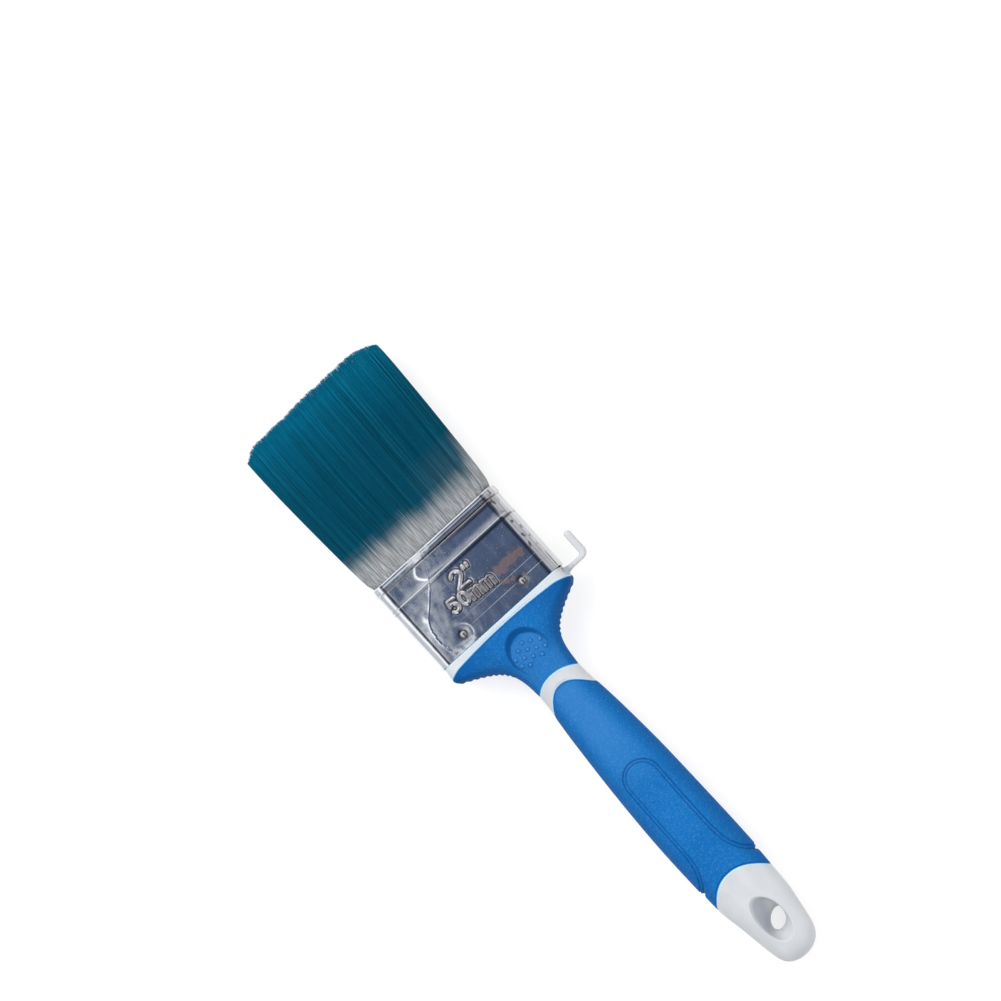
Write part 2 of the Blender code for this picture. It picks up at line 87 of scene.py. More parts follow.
# ---- numbers ----------------------------------------------------------------


def pchip(table, x):
    """Monotone cubic through the table's points."""
    xs, ys = (np.array(c, float) for c in zip(*table))
    x = np.clip(np.asarray(x, float), xs[0], xs[-1])
    h, d = np.diff(xs), np.diff(ys) / np.diff(xs)
    m = np.empty(len(xs))
    m[0], m[-1] = d[0], d[-1]
    w0, w1 = 2 * h[1:] + h[:-1], h[1:] + 2 * h[:-1]
    flat = d[:-1] * d[1:] <= 0
    safe0, safe1 = np.where(flat, 1.0, d[:-1]), np.where(flat, 1.0, d[1:])
    m[1:-1] = np.where(flat, 0.0, (w0 + w1) / (w0 / safe0 + w1 / safe1))
    i = np.clip(np.searchsorted(xs, x, side="right") - 1, 0, len(xs) - 2)
    t = (x - xs[i]) / h[i]
    return (
        ys[i] * (1 + 2 * t) * (1 - t) ** 2
        + h[i] * m[i] * t * (1 - t) ** 2
        + ys[i + 1] * t * t * (3 - 2 * t)
        + h[i] * m[i + 1] * t * t * (t - 1)
    )


def softened(table, sigma=0.9):
    """The table's curve with its changes of curvature evened out, as a function."""
    step = 0.1
    x = np.arange(table[0][0], table[-1][0] + step / 2, step)
    y = pchip(table, x)
    reach = int(4 * sigma / step)
    k = np.exp(-0.5 * (np.arange(-reach, reach + 1) * step / sigma) ** 2)
    k /= k.sum()
    ends = (
        y[0] + (y[1] - y[0]) * np.arange(-reach, 0),
        y[-1] + (y[-1] - y[-2]) * np.arange(1, reach + 1),
    )
    y = np.convolve(np.concatenate([ends[0], y, ends[1]]), k, mode="valid")
    return lambda v: np.interp(v, x, y)


def smoothstep(a, b, x):
    t = np.clip((np.asarray(x, float) - a) / (b - a), 0, 1)
    return t * t * (3 - 2 * t)


def bell(x, width):
    return np.exp(-((np.asarray(x, float) / width) ** 2))


def stations(*spans):
    """Numbers through (start, end, step) spans in turn, with no repeats."""
    out = []
    for a, b, step in spans:
        n = max(1, int(round(abs(b - a) / step)))
        part = a + (b - a) * np.arange(n + 1) / n
        out.append(part if not out else part[1:])
    return np.concatenate(out)


def waves(seed, count, low, high, tilt=(1.0, 1.0)):
    """A smooth random field of two lengths, about -1 to 1, from waves low to high mm long."""
    rng = np.random.default_rng(seed)
    length = np.exp(rng.uniform(math.log(low), math.log(high), count))
    turn = rng.uniform(0, 2 * math.pi, count)
    kx, ky = 2 * math.pi / length * np.cos(turn) * tilt[0], 2 * math.pi / length * np.sin(turn) * tilt[1]
    phase = rng.uniform(0, 2 * math.pi, count)
    share = length / length.max()

    def field(x, y):
        total = np.zeros(np.broadcast(x, y).shape)
        for a, b, p, w in zip(kx, ky, phase, share):
            total += w * np.sin(a * x + b * y + p)
        return total / math.sqrt((share**2).sum())

    return field


def line_noise(seed, spacing, span=80.0):
    """Smooth random numbers along one length, about -1 to 1."""
    rng = np.random.default_rng(seed)
    x = np.arange(-span, span + spacing, spacing)
    y = rng.uniform(-1, 1, len(x))

    def field(v):
        v = np.asarray(v, float)
        i = np.clip(((v + span) / spacing).astype(int), 0, len(x) - 2)
        t = np.clip((v - x[i]) / spacing, 0, 1)
        t = t * t * (3 - 2 * t)
        return y[i] * (1 - t) + y[i + 1] * t

    return field


# ---- the handle's outer surface ---------------------------------------------

half_width_base = softened(HALF_WIDTH, 0.7)
half_depth_base = softened(HALF_DEPTH, 1.2)
roundness = softened(ROUNDNESS, 1.5)
corner_radius = softened(CORNER, 1.0)


def closure(s):
    t = np.clip((np.asarray(s, float) - 138.0) / (TAIL_END - 138.0), 0, 1)
    return np.sqrt(np.maximum(0.0, 1 - t**5.3))


def half_width(s):
    return half_width_base(s) * closure(s)


def half_depth(s):
    return half_depth_base(s) * closure(s)


SECTION_STEP = 0.5
SECTION_S = np.arange(-2.0, 152.01, SECTION_STEP)
SECTION_TURN = np.arange(0, 360, 0.5)


def build_sections():
    """The section's shape against s and turn, in shares of its half width and half depth."""
    a, b = half_width_base(SECTION_S)[:, None], half_depth_base(SECTION_S)[:, None]
    share = roundness(SECTION_S)[:, None]
    r = np.minimum(corner_radius(SECTION_S)[:, None], np.minimum(a, b) * 0.98)
    q = SECTION_TURN % 360
    sx = np.where((q < 90) | (q > 270), 1.0, -1.0)
    sz = np.where(q < 180, 1.0, -1.0)
    q = np.where(q > 180, 360 - q, q)
    q = np.where(q > 90, 180 - q, q)[None, :]
    t = np.radians(np.clip((q - 16) / 34, 0, 1) * 90)
    x = a - r + r * np.cos(t) - np.clip((q - 50) / 40, 0, 1) * (a - r)
    z = np.where(q < 16, (b - r) * np.clip(q / 16, 0, 1), b - r + r * np.sin(t))
    qr = np.radians(q)
    x = x + (a * np.cos(qr) - x) * share
    z = z + (b * np.sin(qr) - z) * share
    grid = np.stack([x / a * sx, z / b * sz], -1)
    reach = 18
    k = np.exp(-0.5 * (np.arange(-reach, reach + 1) / 5.0) ** 2)
    k /= k.sum()
    out = np.zeros_like(grid)
    for j, w in zip(range(-reach, reach + 1), k):
        out += w * np.roll(grid, j, axis=1)
    out[..., 0] *= 1 / np.abs(out[..., 0]).max(axis=1, keepdims=True)
    out[..., 1] *= 1 / np.abs(out[..., 1]).max(axis=1, keepdims=True)
    return out


SECTIONS = build_sections()


def cubic(grid, u, v):
    """grid at fractional row u (held at its ends) and column v (going round)."""
    n, m = grid.shape[:2]
    iu, iv = np.floor(u).astype(int), np.floor(v).astype(int)
    fu, fv = (u - iu)[..., None], (v - iv)[..., None]

    def weights(f):
        return (
            -0.5 * f + f**2 - 0.5 * f**3,
            1 - 2.5 * f**2 + 1.5 * f**3,
            0.5 * f + 2 * f**2 - 1.5 * f**3,
            -0.5 * f**2 + 0.5 * f**3,
        )

    wu, wv = weights(fu), weights(fv)
    out = 0.0
    for a in range(4):
        row = np.clip(iu + a - 1, 0, n - 1)
        line = 0.0
        for b in range(4):
            line = line + wv[b] * grid[row, (iv + b - 1) % m]
        out = out + wu[a] * line
    return out


def handle_point(s, turn):
    """Points of the handle's outer surface; turn is in degrees, from +X by +Z."""
    s, turn = np.broadcast_arrays(np.asarray(s, float), np.asarray(turn, float))
    unit = cubic(SECTIONS, (s - SECTION_S[0]) / SECTION_STEP, (turn % 360) / 0.5)
    return np.stack(
        [unit[..., 0] * half_width(s), Y_EDGE - s, MID_Z + unit[..., 1] * half_depth(s)], -1
    )


def handle_normal(s, turn):
    along = handle_point(s + 0.15, turn) - handle_point(s - 0.15, turn)
    around = handle_point(s, turn + 0.6) - handle_point(s, turn - 0.6)
    n = np.cross(around, along)
    n /= np.maximum(np.linalg.norm(n, axis=-1, keepdims=True), 1e-12)
    p = handle_point(s, turn)
    out = np.sign(n[..., 0] * p[..., 0] + n[..., 2] * (p[..., 2] - MID_Z))
    return n * np.where(out == 0, 1, out)[..., None]


def sideways(s):
    """The moulding is not quite straight: how far its middle lies towards the hook's side."""
    s = np.asarray(s, float)
    return 0.62 * smoothstep(121, 132, s) * (1 - 0.6 * smoothstep(143, 151, s)) - 0.25 * bell(s - 88.0, 20.0)


def bowed(edge, turn):
    """A grip's end: it bows from the middle of a face to the sides."""
    return edge[0] + (edge[1] - edge[0]) * np.abs(np.cos(np.radians(turn))) ** 2.2


# ---- meshes -----------------------------------------------------------------


def new_object(name, verts, quads, material, tris=None, uv=None, attributes=None, sharp=None):
    """A mesh object from arrays. verts in mm; uv per face corner; attributes per vertex."""
    mesh = bpy.data.meshes.new(name)
    quads = np.asarray(quads, np.int32).reshape(-1, 4)
    tris = np.zeros((0, 3), np.int32) if tris is None else np.asarray(tris, np.int32).reshape(-1, 3)
    mesh.vertices.add(len(verts))
    mesh.vertices.foreach_set("co", (np.asarray(verts, float) * MM).astype(np.float32).ravel())
    loops = np.concatenate([quads.ravel(), tris.ravel()])
    mesh.loops.add(len(loops))
    mesh.loops.foreach_set("vertex_index", loops)
    mesh.polygons.add(len(quads) + len(tris))
    start = np.concatenate([np.arange(len(quads)) * 4, len(quads) * 4 + np.arange(len(tris)) * 3])
    mesh.polygons.foreach_set("loop_start", start.astype(np.int32))
    if uv is not None:
        layer = mesh.uv_layers.new(name="OFBake")
        layer.data.foreach_set("uv", np.asarray(uv, np.float32).ravel())
    for key, values in (attributes or {}).items():
        mesh.attributes.new(key, "FLOAT", "POINT").data.foreach_set(
            "value", np.asarray(values, np.float32).ravel()
        )
    mesh.update(calc_edges=True)
    mesh.validate()
    mesh.shade_smooth()
    if sharp is not None:
        mesh.set_sharp_from_angle(angle=math.radians(sharp))
    mesh.materials.append(material)
    obj = bpy.data.objects.new(name, mesh)
    bpy.context.scene.collection.objects.link(obj)
    return obj


def outward(obj):
    bm = bmesh.new()
    bm.from_mesh(obj.data)
    bmesh.ops.recalc_face_normals(bm, faces=bm.faces)
    if bm.calc_volume(signed=True) < 0:
        bmesh.ops.reverse_faces(bm, faces=bm.faces)
    bm.to_mesh(obj.data)
    bm.free()
    return obj


def grid_faces(rows, cols, wrap_cols=True, wrap_rows=False, base=0):
    r = np.arange(rows if wrap_rows else rows - 1)
    c = np.arange(cols if wrap_cols else cols - 1)
    rr, cc = np.meshgrid(r, c, indexing="ij")
    r2, c2 = (rr + 1) % rows, (cc + 1) % cols
    quads = np.stack([rr * cols + cc, rr * cols + c2, r2 * cols + c2, r2 * cols + cc], -1)
    return quads.reshape(-1, 4) + base


def grid_uv(row_at, col_at, wrap_rows=False):
    """Corner UVs for grid_faces with columns that wrap: row_at and col_at have one more entry than faces that way."""
    rows = len(row_at) - 1
    cols = len(col_at) - 1
    rr, cc = np.meshgrid(np.arange(rows), np.arange(cols), indexing="ij")
    u0, u1, v0, v1 = col_at[cc], col_at[cc + 1], row_at[rr], row_at[rr + 1]
    return np.stack(
        [np.stack([u0, v0], -1), np.stack([u1, v0], -1), np.stack([u1, v1], -1), np.stack([u0, v1], -1)], 2
    ).reshape(-1, 2)


def spaced(points):
    """Running length along a closed line of points, from 0 to 1, with one more entry than points."""
    closed = np.vstack([points, points[:1]])
    run = np.concatenate([[0], np.cumsum(np.linalg.norm(np.diff(closed, axis=0), axis=1))])
    return run / run[-1]


def closed_skin(name, rings, material, attributes=None, sharp=None):
    """Rings of points (rows, cols, 3) closed both ways, such as a sleeve's outside and inside."""
    rows, cols = rings.shape[:2]
    widest = int(np.argmax(np.linalg.norm(rings[:, 0] - rings[:, cols // 2], axis=1)))
    col_at = spaced(rings[widest])
    run = np.linalg.norm(np.roll(rings, -1, axis=0) - rings, axis=-1).mean(1)
    row_at = np.concatenate([[0], np.cumsum(run)]) / run.sum()
    obj = new_object(
        name,
        rings.reshape(-1, 3),
        grid_faces(rows, cols, True, True),
        material,
        uv=grid_uv(row_at, col_at) * 0.996 + 0.002,
        attributes=attributes,
        sharp=sharp,
    )
    return outward(obj)


def finish_piece(obj, slot, *nodes):
    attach(obj, "root")
    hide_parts(*nodes)
    return obj


# ---- materials --------------------------------------------------------------


class Nodes:
    """A short way to wire a material's nodes."""

    def __init__(self, name):
        self.material = bpy.data.materials.new(name)
        self.material.use_nodes = True
        self.tree = self.material.node_tree
        self.shader = self.tree.nodes["Principled BSDF"]
        self.coords = None

    def set(self, **values):
        for key, value in values.items():
            socket = self.shader.inputs[key.replace("_", " ")]
            socket.default_value = (*value, 1.0) if isinstance(value, tuple) else value

    def link(self, a, b):
        self.tree.links.new(a, b)

    def place(self):
        if self.coords is None:
            self.coords = self.tree.nodes.new("ShaderNodeTexCoord").outputs["Object"]
        return self.coords

    def scaled(self, scale):
        node = self.tree.nodes.new("ShaderNodeMapping")
        node.inputs["Scale"].default_value = scale
        self.link(self.place(), node.inputs["Vector"])
        return node.outputs[0]

    def noise(self, size_mm, detail=2.0, rough=0.5, vector=None, distortion=0.0):
        node = self.tree.nodes.new("ShaderNodeTexNoise")
        node.inputs["Scale"].default_value = 1000.0 / size_mm
        node.inputs["Detail"].default_value = detail
        node.inputs["Roughness"].default_value = rough
        node.inputs["Distortion"].default_value = distortion
        self.link(vector or self.place(), node.inputs["Vector"])
        return node.outputs["Fac"]

    def cells(self, size_mm, feature="F1", randomness=1.0, vector=None):
        node = self.tree.nodes.new("ShaderNodeTexVoronoi")
        node.feature = feature
        node.inputs["Scale"].default_value = 1000.0 / size_mm
        node.inputs["Randomness"].default_value = randomness
        self.link(vector or self.place(), node.inputs["Vector"])
        return node.outputs["Distance"]

    def attribute(self, name):
        node = self.tree.nodes.new("ShaderNodeAttribute")
        node.attribute_name = name
        return node.outputs["Fac"]

    def remap(self, value, a, b, c=0.0, d=1.0, smooth=True):
        node = self.tree.nodes.new("ShaderNodeMapRange")
        node.interpolation_type = "SMOOTHSTEP" if smooth else "LINEAR"
        node.inputs["From Min"].default_value = a
        node.inputs["From Max"].default_value = b
        node.inputs["To Min"].default_value = c
        node.inputs["To Max"].default_value = d
        self.link(value, node.inputs["Value"])
        return node.outputs["Result"]

    def math(self, operation, a, b=None, clamp=False):
        node = self.tree.nodes.new("ShaderNodeMath")
        node.operation = operation
        node.use_clamp = clamp
        for socket, value in zip(node.inputs, (a, b)):
            if value is None:
                continue
            if isinstance(value, (int, float)):
                socket.default_value = value
            else:
                self.link(value, socket)
        return node.outputs[0]

    def ramp(self, value, *stops):
        node = self.tree.nodes.new("ShaderNodeValToRGB")
        elements = node.color_ramp.elements
        while len(elements) > len(stops):
            elements.remove(elements[-1])
        while len(elements) < len(stops):
            elements.new(0.5)
        for element, (at, colour) in zip(elements, stops):
            element.position = at
            element.color = (*colour, 1.0)
        self.link(value, node.inputs["Fac"])
        return node.outputs["Color"]

    def mix(self, factor, a, b, blend="MIX"):
        node = self.tree.nodes.new("ShaderNodeMix")
        node.data_type = "RGBA"
        node.blend_type = blend
        node.clamp_result = False
        for socket, value in ((node.inputs[0], factor), (node.inputs[6], a), (node.inputs[7], b)):
            if isinstance(value, (int, float)):
                socket.default_value = value
            elif isinstance(value, tuple):
                socket.default_value = (*value, 1.0)
            else:
                self.link(value, socket)
        return node.outputs[2]

    def colour(self, socket):
        self.link(socket, self.shader.inputs["Base Color"])

    def roughness(self, socket):
        self.link(socket, self.shader.inputs["Roughness"])

    def bump(self, *layers):
        """Each layer is (height 0 to 1, depth in mm), the first lying deepest."""
        previous = None
        for height, depth in layers:
            node = self.tree.nodes.new("ShaderNodeBump")
            node.inputs["Strength"].default_value = 1.0
            node.inputs["Distance"].default_value = depth * MM
            self.link(height, node.inputs["Height"])
            if previous is not None:
                self.link(previous, node.inputs["Normal"])
            previous = node.outputs["Normal"]
        self.link(previous, self.shader.inputs["Normal"])


def soft_grip_material():
    m = Nodes("soft_grip_blue")
    m.set(Specular_IOR_Level=0.035)
    grain = m.noise(0.55, 3.0, 0.6)
    coarse = m.noise(1.5, 2.0, 0.5)
    drift = m.noise(22.0, 2.0, 0.5)
    body = m.mix(m.remap(drift, 0.35, 0.65), (0.0045, 0.103, 0.318), (0.0070, 0.115, 0.342))
    body = m.mix(m.remap(grain, 0.5, 0.72, 0.0, 0.5), body, (0.06, 0.20, 0.44))
    body = m.mix(m.remap(grain, 0.44, 0.27, 0.0, 0.5), body, (0.003, 0.080, 0.27))
    body = m.mix(m.remap(coarse, 0.52, 0.72, 0.0, 0.16), body, (0.045, 0.175, 0.41))
    body = m.mix(m.attribute("pale"), body, (0.060, 0.200, 0.435))
    body = m.mix(m.attribute("shade"), body, (0.0008, 0.052, 0.195))
    # painted highlight along the grips' rolled edges
    body = m.mix(m.attribute("painted_reflection"), body, (0.22, 0.52, 0.78))
    m.colour(body)
    m.roughness(m.remap(grain, 0.25, 0.75, 0.64, 0.46))
    m.bump((coarse, 0.05), (grain, 0.06))
    return m.material


def white_plastic_material():
    m = Nodes("moulded_white")
    m.set(Specular_IOR_Level=0.45, Subsurface_Weight=0.0)
    drift = m.noise(14.0, 2.0, 0.5)
    grain = m.noise(0.5, 2.0, 0.5)
    flow = m.noise(5.0, 3.0, 0.55, vector=m.scaled((1.0, 0.25, 1.0)))
    body = m.mix(m.remap(drift, 0.3, 0.7), (0.430, 0.446, 0.459), (0.465, 0.478, 0.489))
    body = m.mix(m.remap(flow, 0.45, 0.75, 0.0, 0.35), body, (0.55, 0.56, 0.565))
    body = m.mix(m.attribute("shade"), body, (0.30, 0.32, 0.35))
    # painted blue reflection of the grips on the white
    body = m.mix(m.attribute("painted_reflection"), body, (0.33, 0.60, 0.82))
    m.colour(body)
    m.roughness(m.remap(grain, 0.3, 0.7, 0.33, 0.46))
    m.bump((flow, 0.03), (grain, 0.008))
    return m.material


def plated_material(name, base, dark, rough=(0.07, 0.16)):
    m = Nodes(name)
    m.set(Metallic=1.0)
    cloud = m.noise(7.0, 3.0, 0.55)
    wipe = m.noise(2.4, 3.0, 0.6, vector=m.scaled((1.0, 0.16, 1.0)))
    peel = m.noise(0.75, 2.0, 0.6)
    speck = m.cells(1.0)
    scratch = m.noise(0.22, 1.0, 0.4, vector=m.scaled((1.0, 0.03, 1.0)))
    body = m.mix(m.remap(cloud, 0.35, 0.7), base, tuple(c * 0.86 for c in base))
    body = m.mix(m.remap(scratch, 0.62, 0.78, 0.0, 0.25), body, tuple(min(1.0, c * 1.12) for c in base))
    body = m.mix(m.attribute("shade"), body, dark)
    # the painted mauve reflection beside the size mark
    body = m.mix(m.attribute("mauve_reflection"), body, (0.34, 0.20, 0.20))
    m.colour(body)
    wiped = m.remap(wipe, 0.35, 0.7, rough[0], rough[1])
    m.roughness(m.math("MAXIMUM", wiped, m.math("MAXIMUM", m.math("MULTIPLY", m.attribute("mauve_reflection"), 0.42), m.attribute("haze"))))
    m.bump(
        (cloud, 0.03),
        (peel, 0.013),
        (m.remap(speck, 0.0, 0.18), 0.014),
        (scratch, 0.0015),
    )
    return m.material


def filament_material():
    m = Nodes("dyed_filament")
    m.set(Roughness=0.5, Specular_IOR_Level=0.035)
    fine = m.noise(0.45, 2.0, 0.5, vector=m.scaled((1.0, 0.02, 1.0)))
    broad = m.noise(3.2, 2.0, 0.5, vector=m.scaled((1.0, 0.06, 1.0)))
    dyed = m.ramp(
        m.attribute("along"),
        (0.0, (0.0015, 0.053, 0.092)),
        (0.30, (0.0005, 0.055, 0.098)),
        (0.62, (0.0005, 0.067, 0.120)),
        (0.86, (0.0005, 0.102, 0.184)),
        (1.0, (0.0005, 0.146, 0.258)),
    )
    dyed = m.mix(m.remap(fine, 0.5, 0.8, 0.0, 0.25), dyed, (0.002, 0.14, 0.21))
    dyed = m.mix(m.remap(broad, 0.5, 0.25, 0.0, 0.16), dyed, (0.001, 0.035, 0.065))
    clear = m.mix(m.remap(fine, 0.35, 0.7), (0.255, 0.26, 0.268), (0.455, 0.462, 0.468))
    body = m.mix(m.attribute("dye"), clear, dyed)
    tone = m.attribute("tone")
    body = m.mix(m.remap(tone, 0.0, -1.0, 0.0, 0.6, False), body, (0.0, 0.016, 0.030))
    body = m.mix(m.remap(tone, 0.0, 1.0, 0.0, 0.16, False), body, (0.05, 0.30, 0.40))
    m.colour(body)
    return m.material


def hidden_material(name, light, dark, size, stretch):
    """Grain for the pieces shut inside the ferrule."""
    m = Nodes(name)
    m.set(Roughness=0.6)
    grain = m.noise(size, 4.0, 0.6, vector=m.scaled(stretch))
    m.colour(m.mix(m.remap(grain, 0.3, 0.7), dark, light))
    m.bump((grain, 0.05))
    return m.material


blue = soft_grip_material()
white = white_plastic_material()
plated = plated_material("plated_sheet", (0.80, 0.825, 0.86), (0.085, 0.068, 0.066))
nail_metal = plated_material("plated_nail", (0.66, 0.67, 0.69), (0.04, 0.04, 0.045), (0.1, 0.2))
filament = filament_material()


# ---- white core: collar, neck band, tail with the hanging hole, hook --------

HOLE_INNER = (4.65, 8.75)  # where the hole's wall starts, at the faces
HOLE_WAIST = (2.75, 4.9)
HOLE_LEAN = (0.95, 0.75)  # the waist lies a little to the hook's side and towards the end
HOLE_TURN = math.radians(30)  # and its long axis leans across
HOLE_LIP = 0.85  # width of the rounding outside that line
REFLECTION_INSET = 0.012  # marks the rings that carry the painted blue reflection beside a grip


def hole_half_width(s):
    t = (np.asarray(s, float) - HOLE_S) / HOLE_INNER[1]
    return HOLE_INNER[0] * np.sqrt(np.maximum(0.0, 1 - t * t))


def lip_drop(x, s):
    """How far the face dips where it rolls over into the hole."""
    ex, es = x / HOLE_INNER[0], (s - HOLE_S) / HOLE_INNER[1]
    rho = np.maximum(np.hypot(ex, es), 1e-6)
    away = np.hypot(x, s - HOLE_S) * (1 - 1 / rho)
    side = (ex / rho) ** 2
    depth = 0.45 + 0.35 * side
    return depth * np.clip(1 - np.maximum(away, 0) / HOLE_LIP, 0, 1) ** 2.2


def core_rows():
    """(s at a turn, inset) for each ring from the tang to the tail's end."""
    rows = []

    def at(start, end, f, inset):
        rows.append((lambda t, a=start, b=end, g=f: bowed(a, t) * (1 - g) + bowed(b, t) * g, inset))

    flat = (0.1, 0.1)
    for inset, lift in ((0.55, 0.0), (0.3, 0.02), (0.12, 0.09), (0.03, 0.2), (0.0, 0.35)):
        at((0.1 + lift, 0.1 + lift), (0.1 + lift, 0.1 + lift), 0, inset)
    for f in np.linspace(0.12, 0.7, 8):
        at((0.45, 0.45), SHOULDER[0], f, 0.0)
    before = ((0.0, 0.66), (REFLECTION_INSET, 0.42), (2 * REFLECTION_INSET, 0.1), (0.1, 0.01), (0.3, 0.0))
    after = tuple((inset, on) for inset, on in reversed(before))
    for inset, back in before:
        edge = tuple(v - back for v in SHOULDER[0])
        at(edge, edge, 0, inset)
    at(SHOULDER[0], SHOULDER[1], 0, 1.6)
    for f in np.linspace(0.03, 0.97, 40):
        at(SHOULDER[0], SHOULDER[1], f, 1.75)
    at(SHOULDER[0], SHOULDER[1], 1, 1.6)
    for inset, on in after:
        edge = tuple(v + on for v in SHOULDER[1])
        at(edge, edge, 0, inset)
    for f in np.linspace(0.12, 0.88, 16):
        at(SHOULDER[1], SLEEVE[0], f, 0.0)
    for inset, back in before:
        edge = tuple(v - back for v in SLEEVE[0])
        at(edge, edge, 0, inset)
    for f in np.linspace(0.002, 0.998, 60):
        at(SLEEVE[0], SLEEVE[1], f, 1.6)
    for inset, on in after:
        edge = tuple(v + on for v in SLEEVE[1])
        at(edge, edge, 0, inset)
    # from the sleeve's end the rings straighten out before the hole
    last = tuple(v + 0.42 for v in SLEEVE[1])
    first = HOLE_S - HOLE_INNER[1] - 1.3
    for f in np.linspace(0.0, 1.0, 26)[1:]:
        at(last, (first, first + 0.0), f, 0.0)
    for s in stations((first, HOLE_S - HOLE_INNER[1], 0.11))[1:]:
        at((s, s), (s, s), 0, 0.0)
    for k in range(1, 97):
        s = HOLE_S - HOLE_INNER[1] * math.cos(math.pi * k / 96)
        at((s, s), (s, s), 0, 0.0)
    after = HOLE_S + HOLE_INNER[1]
    for s in stations((after, after + 1.3, 0.11))[1:]:
        at((s, s), (s, s), 0, 0.0)
    left = TAIL_END - (after + 1.3)
    for v in np.linspace(0, 1, 40)[1:-1]:
        s = TAIL_END - left * (1 - v) ** 2
        at((s, s), (s, s), 0, 0.0)
    return rows


